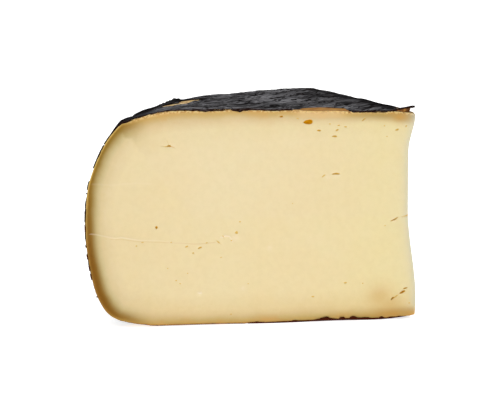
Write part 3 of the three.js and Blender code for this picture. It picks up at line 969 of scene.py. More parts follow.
def spaced(points, placed, gap):
    """The points that keep a gap from those already placed and from each other."""
    tree = kdtree.KDTree(len(placed))
    for number, (u, v) in enumerate(placed):
        tree.insert((u, v, 0), number)
    tree.balance()
    kept, cells = [], {}
    for u, v in points:
        if tree.find((u, v, 0))[2] < gap:
            continue
        row, column = math.floor(u / gap), math.floor(v / gap)
        around = [cells.get((row + i, column + j), ()) for i in (-1, 0, 1) for j in (-1, 0, 1)]
        if any((u - p) ** 2 + (v - q) ** 2 < gap * gap for cell in around for p, q in cell):
            continue
        cells.setdefault((row, column), []).append((u, v))
        kept.append((u, v))
    return np.array(kept).reshape(-1, 2)


def face_points(border, face):
    """Points inside a cut face: the rings of its eyes, rows along its cracks, lines and border,
    and a jittered grid over the rest."""
    inward = np.gradient(border, axis=0)
    inward = unit(np.column_stack([-inward[:, 1], inward[:, 0]]))
    lines = [(line, half) for line, half, _ in face["cracks"]]
    lines += [(line, halves[0]) for line, halves, _ in face["lines"]]
    groups = [(eye_points(eye, face["seed"] + number), EYE_GAP) for number, eye in enumerate(face["eyes"])]
    groups += [(line_points(line, half), CRACK_GAP) for line, half in lines]
    groups += [(border + inward * depth, EDGE_GAP) for depth in EDGE_ROWS]
    low, high = border.min(0), border.max(0)
    grid = np.stack(np.meshgrid(*(np.arange(low[axis], high[axis], FACE_STEP) for axis in (0, 1))), -1)
    grid[1::2, :, 0] += FACE_STEP / 2
    grid = grid.reshape(-1, 2)
    random = np.random.default_rng(face["seed"])
    grid += random.uniform(-FACE_JITTER, FACE_JITTER, grid.shape) * FACE_STEP
    groups.append((grid, FACE_GAP * FACE_STEP))
    found = np.zeros((0, 2))
    for points, gap in groups:
        points = points[polygon_distance(points, border) < -RIM_MARGIN]
        found = np.concatenate([found, spaced(points, np.concatenate([border, found]), gap)])
    return found


def fill(border, inner):
    """Triangles of a plane outline with points inside it, counter-clockwise, by row number."""
    coords = [Vector(point) for point in np.concatenate([border, inner])]
    _, _, faces, sources, _, _ = geometry.delaunay_2d_cdt(coords, [], [list(range(len(border)))], 1, 1e-6)
    named = [min(source) for source in sources]
    return np.array([[named[corner] for corner in face] for face in faces])


def pit_strength(depth):
    return min(1.0, PIT_LEAST + PIT_BY_DEPTH * depth)


def face_pits(points, border_distance, face):
    """Depth of eyes and cracks at the points of a face, and how much each is inside one."""
    depth = np.zeros(len(points))
    pit = np.zeros(len(points))
    for number, eye in enumerate(face["eyes"]):
        out = eye_shape(points, eye, face["seed"] + number)
        bowl = np.sqrt(np.clip(1 - out * out, 0, 1))
        depth = np.maximum(depth, eye[4] * bowl)
        pit = np.maximum(pit, pit_strength(eye[4]) * fade(*PIT_RIM, out))
    for number, (line, half, deep) in enumerate(face["cracks"]):
        away, share = line_distance(points, line)
        along = share * line_lengths(line)[-1]
        opened = CRACK_OPEN + CRACK_WOBBLE * line_noise(along, CRACK_WOBBLE_LENGTH, face["seed"] + number)
        opened = opened * np.sin(math.pi * np.clip(share, *CRACK_ENDS)) ** CRACK_END_POWER
        groove = np.clip(1 - away / (half * np.maximum(opened, CRACK_LEAST) * CRACK_SPREAD), 0, 1)
        depth = np.maximum(depth, deep * opened * groove)
        shown = np.minimum(CRACK_SPREAD * opened, 1) * smooth(*CRACK_PIT, groove)
        pit = np.maximum(pit, pit_strength(deep) * shown)
    return depth * smooth(*PIT_FROM_BORDER, border_distance), pit


def flattened(points, face):
    """Places on a cut face: the distance along it and the height."""
    return np.column_stack([(points[:, :2] - face["start"]) @ face["along"], points[:, 2]])


def line_strength(flat, line, halves, strengths):
    away, share = line_distance(flat, line)
    return fade(*LINE_EDGE, away / mixed(*halves, share)) * mixed(*strengths, share)


def mark_near_face(near, flat):
    """Adds the marks that only the near face has. It returns how deep its knife lines are."""
    def deepen(name, values):
        near[name] = np.maximum(near[name], values)

    depth = near["rind_depth"]
    cut = np.zeros(len(flat))
    shown = smooth(*KNIFE_START, depth) * mixed(KNIFE_LEAST, 1.0, smooth(*KNIFE_FULL, depth))
    for line in KNIFE_LINES:
        pale = line_strength(flat, *line) * shown
        cut += KNIFE_DEPTH * pale
        deepen("pale", pale)
    # Painted shadow: the faint ochre line beneath the pale knife line.
    for line in KNIFE_SHADOW_LINES:
        deepen("ochre_and_shadow", line_strength(flat, *line))
    for u, v, radius in PALE_PATCHES:
        deepen("pale", PALE_PATCH_SHARE * spot(flat, (u, v), (radius, radius / PALE_PATCH_FLATNESS)))
    for u, v, half_u, half_v, strength in OCHRE_PATCHES:
        deepen("ochre_and_shadow", strength * spot(flat, (u, v), (half_u, half_v)))
    across, height = flat.T
    on_top = height > WIDEST_HEIGHT
    near["dusk"] = mixed(fade(*DUSK_BASE, across), fade(*DUSK_TOP, across), on_top)
    near["under_strip"] = on_top * band(UNDER_STRIP, across)
    near["even_rim"] = on_top * band(EVEN_RIM, across)
    width = np.where(on_top & (near["side_share"] < 1), np.interp(across, *BAND_WIDTHS), 1.0)
    on_side = smooth(*BAND_SIDE, across) * fade(*BAND_SIDE_TOP, height)
    width = mixed(width, np.interp(height, *SIDE_BAND_WIDTHS), on_side)
    beyond = np.maximum(depth - BAND_START, 0)
    near["rind_depth"] = depth - beyond + beyond / width
    return cut


def paste_mesh():
    """The cheese without its coating, as points, triangles and the marks on them."""
    table, rings, skin_triangles = lattice_rings(PASTE_STEPS)
    points = aged(table[:, :3])
    points -= table[:, 3:6] * inset(points)[:, None]
    count = len(points)
    near_edge, far_edge = (np.array([ring[end] for ring in rings]) for end in (0, -1))
    low, high = points[near_edge[-1], 2], points[near_edge[0], 2]
    nose_heights = np.arange(low + NOSE_STEP, high - NOSE_STEP / 2, NOSE_STEP)
    nose_line = on_a_line(np.full_like(nose_heights, NOSE_PAST_AXIS))
    nose_line[:, 2] = nose_heights
    nose_rows = count + np.arange(len(nose_line))
    everything = np.concatenate([points, nose_line])
    faces = (
        dict(start=np.zeros(2), along=np.array((-1.0, 0.0)), outward=np.array((0.0, -1.0)),
             eyes=[(*before_hollow([eye[:2]])[0], *eye[2:]) for eye in EYES],
             cracks=[(before_hollow(line), half, deep) for line, half, deep in CRACKS],
             lines=KNIFE_LINES + KNIFE_SHADOW_LINES, edge=near_edge, order=-1, seed=11),
        dict(start=NOSE, along=ALONG_FAR, outward=OUT_OF_FAR, eyes=FAR_EYES, cracks=FAR_CRACKS,
             lines=(), edge=far_edge, order=1, seed=47),
    )

    # Both borders run counter-clockwise.
    triangles = [skin_triangles]
    for face in faces:
        rows = np.concatenate([face["edge"], nose_rows])[::-1]
        face["border"] = flattened(everything[rows], face)
        inner = face_points(face["border"], face)
        face["flat"] = np.concatenate([face["border"], inner])
        face["index"] = np.concatenate([rows, len(everything) + np.arange(len(inner))])
        triangles.append(face["index"][fill(face["border"], inner)][:, ::face["order"]])
        placed = np.column_stack([face["start"] + inner[:, :1] * face["along"], inner[:, 1]])
        everything = np.concatenate([everything, placed])

    names = ("rind_depth", "side_share", "base_share", "low_side", "pit", "pale", "ochre_and_shadow", "skin",
             "fresh", "bare", "dusk", "under_strip", "even_rim")
    marks = {name: np.zeros(len(everything)) for name in names}
    moved = everything.copy()
    for face in faces:
        index, flat, border = face["index"], face["flat"], face["border"]
        depth, along = line_distance(flat, flattened(points[face["edge"]], face))
        arc = along * ARC_END
        thin = THIN_RIND * band(THIN_SIDE, arc) * smooth(*THIN_RIND_DEPTH, depth)
        marks["rind_depth"][index] = depth + thin
        marks["side_share"][index] = band(SIDE, arc)
        marks["base_share"][index] = arc > ARC_WIDEST
        marks["low_side"][index] = band(LOW_SIDE, arc)
        pits, pit = face_pits(flat, np.maximum(-polygon_distance(flat, border), 0), face)
        marks["pit"][index] = pit
        on_nose = smooth(*FACE_CALM, np.linalg.norm(everything[index, :2] - NOSE, axis=1))
        serration = 0.5 + layered(on_a_line(arc), BURR_RAGS)
        burr = BURR * serration * fade(*BURR_DEPTH, depth)
        relief = FACE_WAVE * layered(everything[index], FACE_WAVES) + burr
        moved[index, :2] += (relief * on_nose - pits)[:, None] * face["outward"]
    index, flat = faces[0]["index"], faces[0]["flat"]
    near = {name: values[index] for name, values in marks.items()}
    moved[index, 1] -= mark_near_face(near, flat)
    for name, values in near.items():
        marks[name][index] = values

    # The rind: torn open, or bare of its coating near the cuts.
    skin = np.ones(len(everything), bool)
    for face in faces:
        skin[face["index"]] = False
    marks["skin"] = skin.astype(float)
    tear = np.minimum(polygon_distance(points[:, :2], TEAR), torn_spot_distance(points))
    marks["fresh"][:count] = fade(*FRESH_EDGE, tear) * (points[:, 2] > WIDEST_HEIGHT)
    marks["bare"][:count] = band(SIDE, table[:, 6]) * fade(*BARE_REACH, cut_distance(points, table[:, 7]))
    # Painted shade along the nose's rounded edge, fading away from it.
    marks["nose"] = np.exp(-np.linalg.norm(everything[:, :2] - NOSE, axis=1) / NOSE_SHADE_REACH)
    marks["nose"] *= smooth(*NOSE_SHADE_HEIGHTS, everything[:, 2])
    marks["spread"] = axis_distance(everything) / WHEEL_RADIUS
    return sagged(hollowed(worn(moved))), np.concatenate(triangles), marks


# The coating.

def clip(table, triangles, keep):
    """Cuts away the part of a sheet where keep is negative. New points lie where it is zero."""
    positive = keep > 0
    whole = positive[triangles].all(axis=1)
    partly = positive[triangles].any(axis=1) & ~whole
    kept = [tuple(triangle) for triangle in triangles[whole]]
    rows, made = [], {}

    def crossing(inner, outer):
        key = (min(inner, outer), max(inner, outer))
        if key not in made:
            t = np.clip(keep[inner] / (keep[inner] - keep[outer]), *CLIP_SHARES)
            made[key] = len(table) + len(rows)
            rows.append(table[inner] + t * (table[outer] - table[inner]))
        return made[key]

    for triangle in triangles[partly]:
        inside = [positive[corner] for corner in triangle]
        alone = inside.index(sum(inside) == 1)
        a, b, c = (triangle[(alone + step) % 3] for step in range(3))
        if inside[alone]:
            kept.append((a, crossing(a, b), crossing(a, c)))
        else:
            into, out = crossing(b, a), crossing(c, a)
            kept += [(into, b, c), (into, c, out)]
    table = np.concatenate([table, np.array(rows)]) if rows else table
    kept = np.array(kept)
    used = np.unique(kept)
    number = np.zeros(len(table), int)
    number[used] = np.arange(len(used))
    return table[used], number[kept]


def boundary_edges(triangles):
    """Directed edges that only one triangle has."""
    edges = np.concatenate([triangles[:, [0, 1]], triangles[:, [1, 2]], triangles[:, [2, 0]]])
    size = triangles.max() + 1
    forward = edges[:, 0] * size + edges[:, 1]
    backward = edges[:, 1] * size + edges[:, 0]
    return edges[~np.isin(forward, backward)]


def closed_shell(outer, inner, triangles):
    """A sheet with an inner side and walls along its edges."""
    count = len(outer)
    edges = boundary_edges(triangles)
    a, b = edges[:, 0], edges[:, 1]
    walls = np.concatenate([np.column_stack([b, a, a + count]), np.column_stack([b, a + count, b + count])])
    return np.concatenate([outer, inner]), np.concatenate([triangles, triangles[:, ::-1] + count, walls])


def creases(points, wavelength, seed, sharpness):
    """1 along the middle lines of a noise, falling off on both sides."""
    return np.clip(1 - np.abs(other_noise(points, wavelength, seed)) * sharpness, 0, 1)


def wrinkles(points):
    """Height of the coating's wrinkles, from 0 to about 1, and of its fine ones."""
    warp = np.column_stack([other_noise(points, WARP_LENGTH, seed) for seed in WARP_SEEDS])
    broad, second, fine = (creases(points + warp * WARP_REACH, *row) for row in CREASES)
    ridge = np.maximum(broad ** CREASE_POWER, SECOND_CREASE * second ** CREASE_POWER)
    grown = GROWN["least"] + GROWN["more"] * other_noise(points, GROWN["wavelength"], GROWN["seed"])
    return ridge * grown, fine * grown


def hang(along, drips, seed):
    """How far the coating hangs over the cut edge, by the distance from the axis."""
    amount = HANG
    for number, (share, wavelength) in enumerate(HANG_RAGS):
        amount = amount + share * line_noise(along, wavelength, seed + number)
    least, more, wavelength = DRIP_RAGS
    for middle, half, deep in drips:
        inside = fade(*DRIP_EDGE, np.abs(along - middle) / half)
        amount = amount + inside * deep * (least + more * line_noise(along, wavelength, seed + 2))
    return np.maximum(amount, HANG_LEAST)


def tongue_lift(points):
    along = np.clip((TONGUE_ROOT - from_nose(points)) / (TONGUE_ROOT - TONGUE_TIP), 0, 1)
    return np.where(points[:, 2] > WIDEST_HEIGHT, TONGUE_LIFT * smooth(0, 1, along), 0.0)


def coat_keep(table):
    """Positive where the coating is left, negative where it is flaked, torn or chipped off."""
    points, arc, share = table[:, :3], table[:, 6], table[:, 7]
    ragged = layered(points, RAGS)
    holes = [polygon_distance(points[:, :2], hole) + roughness * ragged for hole, roughness in HOLES]
    holes.append(torn_spot_distance(points) + SPOT_ROUGHNESS * ragged)
    keep = np.full(len(points), WHOLE)
    keep = np.where(arc < ARC_EDGE, np.minimum.reduce([keep, *holes]), keep)
    tip = from_nose(points) - TONGUE_TIP + TONGUE_RAGGED * ragged
    keep = np.where(points[:, 2] > WIDEST_HEIGHT, np.minimum(keep, tip), keep)
    low_nose = from_nose(points) - LOW_NOSE_SHORT + LOW_NOSE_RAGGED * ragged
    keep = np.where(points[:, 2] < BASE_TOP, np.minimum(keep, low_nose), keep)

    # Small chips, most of them on the side close to the cuts.
    from_cut = cut_distance(points, share)
    on_side = band(CHIPPED_SIDE, arc)
    limit = mixed(*CHIP_LIMITS, on_side * fade(*CHIP_REACH, from_cut))
    limit = limit - CHIP_CLEAR * (arc < CLEAR_END) * fade(*CHIP_CLEAR_REACH, from_cut)
    keep = np.minimum(keep, CHIP_SLOPE * (layered(points, CHIPS) - limit))
    spread = np.column_stack([arc, from_cut / CRUMB_STRETCH, CRUMB_APART * (share > 0.5)])
    reach_back = mixed(*CRUMB_REACHES, fade(*HIGH_CRUMBS_END, arc))
    limit = mixed(*CRUMB_LIMITS, on_side * fade(*CRUMB_FADE, from_cut - reach_back))
    keep = np.minimum(keep, CRUMB_SLOPE * (layered(spread, CRUMBS) - limit))

    # The coating ends short of the near cut along the outer part of the base.
    bare_base = band(BARE_COAT, axis_distance(points)) * (arc > SHORT_FROM)
    short = points[:, 1] - BASE_SHORT + BASE_RAGGED * ragged
    return np.where(bare_base > 0.5, np.minimum(keep, short), keep)


def coat_thickness(points, arc, ridge, fine, folds):
    """How thick the coating is, with its wrinkles and the folds and knobs of the lip."""
    on_top = fade(*TOP_END, arc)
    height = WRINKLE_HEIGHT * ridge + FINE_WRINKLE_HEIGHT * fine
    amount = mixed(1.0, SIDE_WRINKLE_SHARE, smooth(*CALM_FROM, arc)) * fade(*BASE_START, arc)
    from_far = from_far_cut(points)
    settled = smooth(*NEAR_NOSE, from_nose(points)) * smooth(*NEAR_CUT, points[:, 1])
    settled = mixed(CALM_SHARE, 1.0, settled * smooth(*NEAR_FAR_CUT, from_far))
    calm = mixed(CALM_FAR_SHARE, 1.0, smooth(*CALM_FAR_CUT, from_far))
    thick = (height - WRINKLE_SUNK) * amount * settled * calm
    thick = thick + mixed(COAT_SIDE, COAT_TOP, on_top)
    least, broad, small = LIP_JAGS
    jagged = least + np.abs(layered(points, (broad,))) + layered(points, (small,))
    thick = thick + LIP_FOLD_HEIGHT * folds * np.maximum(jagged, 0)
    for x, y, wide, tall in LIP_PEAKS:
        thick = thick + on_top * tall * spot(points, (x, y), wide)
    return thick


def coat_tones(points, arc, folds):
    """Where the coating is darker, with less of its dust and painted sheen: painted shade on the shoulder,
    down the side and along the far cut, and darker places near the tongue, on the lip's folds, behind the
    torn place and in one patch. And where it has a painted cold sheen.
    """
    on_top = fade(*TOP_END, arc)
    reach = from_nose(points)
    # The shoulder, the side and the band along the far cut are painted shade.
    shoulder = smooth(*DARK_SHOULDER, arc) * mixed(1.0, DARK_SIDE_SHARE, smooth(*DARK_SHOULDER_END, arc))
    far_edge = fade(*FAR_EDGE_BAND, from_far_cut(points)) * fade(*FAR_EDGE_END, reach)
    behind = smooth(*BEHIND, points[:, 1]) * fade(*BEHIND_TEAR, polygon_distance(points[:, :2], TEAR))
    patch = DARK_PATCH_SHARE * spot(points, *DARK_PATCH)
    darker_coat = np.maximum.reduce([
        shoulder, TONGUE_DARK_SHARE * fade(*TONGUE_DARK, reach), np.minimum(FOLD_DARK * folds, 1), far_edge,
        on_top * np.maximum(behind, patch)])
    return darker_coat, on_top * spot(points, *SHEEN)


def coat_mesh():
    """The coating as a thin closed shell over the rind, with wrinkles and lost places."""
    table, _, triangles = lattice_rings(COAT_STEPS, SIDE_CROWDING)
    table, triangles = clip(table, triangles, coat_keep(table))
    points, normals, arc, share = table[:, :3], unit(table[:, 3:6]), table[:, 6], table[:, 7]
    count = len(points)
    skin = aged(points)
    paste = skin - normals * inset(skin)[:, None]
    reach = from_nose(points)
    ridge, fine = wrinkles(points)
    folds = bump(points, *LIP_FOLDS) * (points[:, 2] > WIDEST_HEIGHT) * fade(*LIP_FOLD_END, points[:, 0])
    thick = coat_thickness(points, arc, ridge, fine, folds)
    outer = paste + normals * thick[:, None]
    inner = paste - normals * (COAT_SUNK + np.maximum(COAT_LEAST - thick, 0))[:, None]
    lift = tongue_lift(points)
    outer[:, 2] += lift
    inner[:, 2] += lift - TONGUE_THICK * smooth(*TONGUE_THICK_LIFTS, lift)
    rise = base_rise(reach) * (points[:, 2] < WIDEST_HEIGHT)
    outer[:, 2] = np.maximum(outer[:, 2], rise)
    inner[:, 2] = np.maximum(inner[:, 2], rise + COAT_SUNK)

    # The cut edges: the inner rim hangs a little over the paste.
    edge_mark = np.zeros(count * 2)
    for on_edge, out, drips_top, drips_base, seed in (
            (share < TINY, np.array((0.0, -1.0)), TOP_DRIPS, BASE_DRIPS, 61),
            (share > 1 - TINY, OUT_OF_FAR, (), (), 71)):
        rows = np.flatnonzero(on_edge & (reach > TONGUE_EDGE_START))
        along = axis_distance(points[rows])
        top = arc[rows] < ARC_WIDEST
        amount = np.where(top, hang(along, drips_top, seed), hang(along, drips_base, seed + 5))
        lifted = fade(*TONGUE_HANG_REACH, reach[rows]) * TONGUE_HANG
        least, more, wavelength = TONGUE_HANG_RAGS
        ragged = least + more * line_noise(reach[rows], wavelength, seed + 7)
        amount = amount + top * lifted * ragged * smooth(*TONGUE_HANG_START, reach[rows])
        amount = amount * (1 - band(FLUSH_SIDE, arc[rows]))
        least, more, most = HANG_FORWARD
        forward = np.minimum(least + more * amount, most)[:, None]
        inner[rows, :2] += out * forward
        inner[rows] -= normals[rows] * amount[:, None]
        outer[rows, :2] += out * (OUTER_FORWARD * forward)
        edge_mark[rows] = OUTER_EDGE_MARK
        edge_mark[rows + count] = 1.0
    dark_rim = band(EVEN_RIM, axis_distance(points)) * fade(*TOP_END, arc) * fade(*DARK_RIM, points[:, 1])
    edge_mark[:count] = np.maximum(edge_mark[:count], DARK_RIM_SHARE * dark_rim)
    outer, inner = sagged(hollowed(outer)), sagged(hollowed(inner))
    everything, triangles = closed_shell(outer, inner, triangles)
    darker_coat, sheen = coat_tones(points, arc, folds)
    marks = {name: np.tile(values, 2) for name, values in
             (("ridge", ridge), ("darker_coat", darker_coat), ("sheen", sheen), ("base_edge", arc > ARC_WIDEST))}
    marks["edge"] = edge_mark
    marks["base_edge"] = marks["base_edge"] * edge_mark
    marks["underside"] = np.repeat((0.0, 1.0), count)
    return everything, triangles, marks


def flap_mesh():
    """The thin plate of rind that lifts with the coating and tears off the paste."""
    rows, columns = FLAP_STEPS
    grid = np.meshgrid(np.linspace(0, 1, rows + 1), np.linspace(-1, 1, columns + 1), indexing="ij")
    along, side = (values.ravel() for values in grid)
    ragged = layered(on_a_line(side * FLAP_RAG_STRETCH + FLAP_RAG_START), FLAP_RAGS)
    reach = mixed(TONGUE_ROOT, FLAP_END, along) + ragged * smooth(*FLAP_TORN, along)
    width = TONGUE_FILL * reach * math.tan(HALF_ANGLE)
    wobble = 1 + layered(on_a_line(reach), FLAP_EDGE_WOBBLE) * np.abs(side) ** FLAP_EDGE_POWER
    plan = NOSE + reach[:, None] * ALONG_MIDDLE + (side * width * wobble)[:, None] * ACROSS_MIDDLE
    base = aged(np.column_stack([plan, top_height(axis_distance(plan))]))
    lift = tongue_lift(base)
    top = base[:, 2] + lift - FLAP_BELOW * smooth(*FLAP_BELOW_LIFTS, lift)
    stuck = smooth(*FLAP_STUCK, reach + layered(base, FLAP_STUCK_RAGS))
    torn = top - FLAP_THICKNESS + layered(base, FLAP_CRUMBS)
    under = mixed(torn, base[:, 2] - FLAP_STUCK_DEPTH, stuck)
    under = np.minimum(under, top - FLAP_LEAST)
    upper, lower = (hollowed(np.column_stack([plan, height])) for height in (top, under))
    index = np.arange((rows + 1) * (columns + 1)).reshape(rows + 1, columns + 1)
    corners = (index[:-1, :-1], index[1:, :-1], index[1:, 1:], index[:-1, 1:])
    a, b, c, d = (corner.ravel() for corner in corners)
    triangles = np.concatenate([np.column_stack([a, b, c]), np.column_stack([a, c, d])])
    points, triangles = closed_shell(upper, lower, triangles)
    dark = 0.5 + layered(base, FLAP_DARK)
    return points, triangles, {"dark": np.tile(dark, 2), "black": np.tile(smooth(*FLAP_BLACK, reach), 2)}


# Blender objects.

def to_frame(points):
    """Wheel coordinates in millimetres as metres in the frame."""
    axis = np.array((HIGH.x / MM - NOSE_PAST_AXIS, LOW.y / MM, 0.0))
    return (np.asarray(points) + axis) * MM


def add_object(name, data):
    made = bpy.data.objects.new(name, data)
    bpy.context.scene.collection.objects.link(made)
    return made


# Materials.

def linear(red, green, blue):
    """A screen colour, 0 to 255, as the linear colour that Blender takes."""
    shares = np.array((red, green, blue)) / 255
    values = np.where(shares <= 0.04045, shares / 12.92, ((shares + 0.055) / 1.055) ** 2.4)
    return (*values.tolist(), 1.0)


class Nodes:
    """Short calls for the nodes of one material."""

    def __init__(self, name):
        self.material = bpy.data.materials.new(name)
        self.material.use_nodes = True
        self.tree = self.material.node_tree
        self.shader = self.tree.nodes["Principled BSDF"]
        self.coordinates = self.add("ShaderNodeTexCoord").outputs["Object"]

    def add(self, kind, **settings):
        node = self.tree.nodes.new(kind)
        for setting, value in settings.items():
            setattr(node, setting, value)
        return node

    def put(self, value, socket):
        """Links or sets an input. A colour of three numbers is a screen colour, 0 to 255."""
        if isinstance(value, bpy.types.NodeSocket):
            self.tree.links.new(value, socket)
        elif socket.type == "RGBA" and len(value) == 3:
            socket.default_value = linear(*value)
        else:
            socket.default_value = value

    def mark(self, name):
        return self.add("ShaderNodeAttribute", attribute_name=name).outputs["Fac"]

    def math(self, operation, first, second=0.0, third=0.0):
        node = self.add("ShaderNodeMath", operation=operation)
        for value, socket in zip((first, second, third), node.inputs):
            self.put(value, socket)
        return node.outputs[0]

    def times(self, first, second):
        return self.math("MULTIPLY", first, second)

    def between(self, value, low, high, to_low=0.0, to_high=1.0):
        node = self.add("ShaderNodeMapRange", interpolation_type="SMOOTHSTEP")
        for given, socket in zip((value, low, high, to_low, to_high), node.inputs):
            self.put(given, socket)
        return node.outputs[0]

    def mix(self, share, first, second, blend="MIX"):
        node = self.add("ShaderNodeMix", data_type="RGBA", blend_type=blend)
        for value, socket in ((share, "Factor"), (first, 6), (second, 7)):
            self.put(value, node.inputs[socket])
        return node.outputs[2]

    def ramp(self, value, stops):
        """A colour ramp through screen colours, 0 to 255, or colours of four linear values."""
        node = self.add("ShaderNodeValToRGB")
        elements = node.color_ramp.elements
        while len(elements) < len(stops):
            elements.new(1.0)
        for element, (place, colour) in zip(elements, stops):
            element.position = place
            element.color = linear(*colour) if len(colour) == 3 else colour
        self.put(value, node.inputs["Fac"])
        return node.outputs["Color"]

    def noise(self, size, detail, roughness=0.55, stretch=(1, 1, 1), distortion=0.0, turn=0.0):
        """Noise between 0 and 1 with features of the size in millimetres. A stretch below 1 makes
        them longer along that axis, after a turn round the vertical."""
        mapping = self.add("ShaderNodeMapping", vector_type="TEXTURE")
        self.put(self.coordinates, mapping.inputs["Vector"])
        self.put((0.0, 0.0, turn), mapping.inputs["Rotation"])
        self.put([size * MM / share for share in stretch], mapping.inputs["Scale"])
        node = self.add("ShaderNodeTexNoise")
        self.put(mapping.outputs[0], node.inputs["Vector"])
        values = dict(Scale=1.0, Detail=detail, Roughness=roughness, Distortion=distortion)
        for name, value in values.items():
            self.put(value, node.inputs[name])
        return node.outputs["Fac"]

    def named(self, name):
        return self.noise(*NOISES[name])

    def patches(self, size, detail, roughness, *limits):
        return self.between(self.noise(size, detail, roughness), *limits)

    def lines(self, name, limits):
        """Eased steps away from the middle lines of a noise."""
        away = self.math("ABSOLUTE", self.math("SUBTRACT", self.named(name), 0.5))
        return self.between(away, *limits)

    def bump(self, height, distance, strength=1.0, below=None):
        node = self.add("ShaderNodeBump")
        self.put(strength, node.inputs["Strength"])
        self.put(distance * MM, node.inputs["Distance"])
        self.put(height, node.inputs["Height"])
        if below is not None:
            self.put(below, node.inputs["Normal"])
        return node.outputs["Normal"]

    def finish(self, **sockets):
        for name, value in sockets.items():
            self.put(value, self.shader.inputs[name.replace("_", " ")])
        return self.material


def paste_material():
    nodes = Nodes("paste")
    depth = nodes.mark("rind_depth")
    def at_depths(name):
        return nodes.between(depth, *DEPTHS[name])

    wobble = nodes.math("MULTIPLY_ADD", nodes.named("wobble"), WOBBLE_REACH, -WOBBLE_REACH / 2)
    wobble = nodes.times(wobble, at_depths("wobble"))
    scaled = nodes.math("DIVIDE", nodes.math("ADD", depth, wobble), RAMP_REACH)
    side, top, base = (
        nodes.ramp(scaled, [(place / RAMP_REACH, colour) for place, colour in stops])
        for stops in (SIDE_STOPS, TOP_STOPS, BASE_STOPS))
    colour = nodes.mix(nodes.mark("side_share"), nodes.mix(nodes.mark("base_share"), top, base), side)
    for *layer, factors in MOTTLES:
        tinted = nodes.mix(1.0, colour, factors, "MULTIPLY")
        colour = nodes.mix(nodes.patches(*layer), colour, tinted)

    # The darkest rind low on the side, orange patches, the dusky nose and the pale strip.
    edge = nodes.times(at_depths("low_side"), at_depths("low_side_start"))
    colour = nodes.mix(nodes.times(nodes.mark("low_side"), edge), colour, LOW_SIDE_TONE)
    on_top = nodes.math("SUBTRACT", 1.0, nodes.mark("side_share"))
    orange = nodes.times(nodes.patches(*PATCHES["orange"]), on_top)
    colour = nodes.mix(nodes.times(orange, at_depths("orange")), colour, ORANGE_TONE)
    colour = nodes.mix(nodes.times(nodes.mark("dusk"), at_depths("dusk")), colour, DUSK_TONE)
    under = nodes.times(at_depths("strip_start"), at_depths("strip"))
    colour = nodes.mix(nodes.times(nodes.mark("under_strip"), under), colour, UNDER_STRIP_TONE)

    # The burr along the coating, and crumbs of the coating on it.
    along_top = nodes.times(on_top, nodes.math("SUBTRACT", 1.0, nodes.mark("base_share")))
    along_top = nodes.math("POWER", along_top, ALONG_TOP_POWER)
    serrated = nodes.patches(*PATCHES["serrated"])
    burr = nodes.times(at_depths("burr"), along_top)
    for mark, left in BURR_LEFT:
        burr = nodes.times(burr, nodes.between(nodes.mark(mark), 0.0, 1.0, 1.0, left))
    colour = nodes.mix(burr, colour, nodes.mix(serrated, *BURR_TONES))
    crumbs = nodes.times(nodes.patches(*PATCHES["crumbs"]), at_depths("crumbs"))
    mark, left = BURR_LEFT[0]
    crumbs = nodes.times(crumbs, nodes.between(nodes.mark(mark), 0.0, 1.0, 1.0, left))
    along_rim = nodes.math("MULTIPLY_ADD", on_top, nodes.mark("base_share"), along_top)
    colour = nodes.mix(nodes.times(crumbs, along_rim), colour, CRUMB_TONE)

    # A little yellower near the nose and darker near the side, then the marks of the face.
    colour = nodes.mix(1.0, colour, nodes.ramp(nodes.mark("spread"), SPREAD_TINT), "MULTIPLY")
    # Ochre patches, and the painted shadow beneath the pale knife line.
    colour = nodes.mix(nodes.mark("ochre_and_shadow"), colour, OCHRE_TONE)
    colour = nodes.mix(nodes.times(nodes.mark("pale"), PALE_SHARE), colour, PALE_TONE)
    # Painted shade along the rounded edge of the nose.
    colour = nodes.mix(nodes.times(nodes.mark("nose"), NOSE_SHADE_SHARE), colour, NOSE_SHADE_TONE)
    pit = nodes.mark("pit")
    colour = nodes.mix(nodes.between(pit, *PIT_SHOWN), colour, PIT_TONE)
    colour = nodes.mix(nodes.between(pit, *DEEP_PIT_SHOWN), colour, DEEP_PIT_TONE)

    # The rind, where the coating is gone.
    brown = nodes.ramp(nodes.named("brown"), BROWN_RIND)
    bare = nodes.ramp(nodes.named("bare"), BARE_RIND)
    fresh = nodes.ramp(nodes.named("fresh"), FRESH_RIND)
    fresh = nodes.mix(nodes.patches(*PATCHES["flecks"]), fresh, FLECK_TONE)
    rind = nodes.mix(nodes.mark("fresh"), nodes.mix(nodes.mark("bare"), brown, bare), fresh)
    skin = nodes.mark("skin")
    colour = nodes.mix(skin, colour, rind)

    grains = (nodes.times(nodes.named(name), share) for name, share in GRAIN_SHARES)
    normal = nodes.bump(nodes.math("ADD", *grains), *GRAIN_BUMP)
    normal = nodes.bump(nodes.named("scrape"), *SCRAPE_BUMP, normal)
    rough = nodes.math("MULTIPLY_ADD", skin, BARE_ROUGHER, nodes.patches(*PATCHES["paste_rough"]))
    return nodes.finish(Base_Color=colour, Roughness=rough, Normal=normal, Specular_IOR_Level=0.12,
                        Subsurface_Weight=0.18, Subsurface_Radius=(0.0026, 0.0016, 0.0008),
                        Subsurface_Scale=1.0)


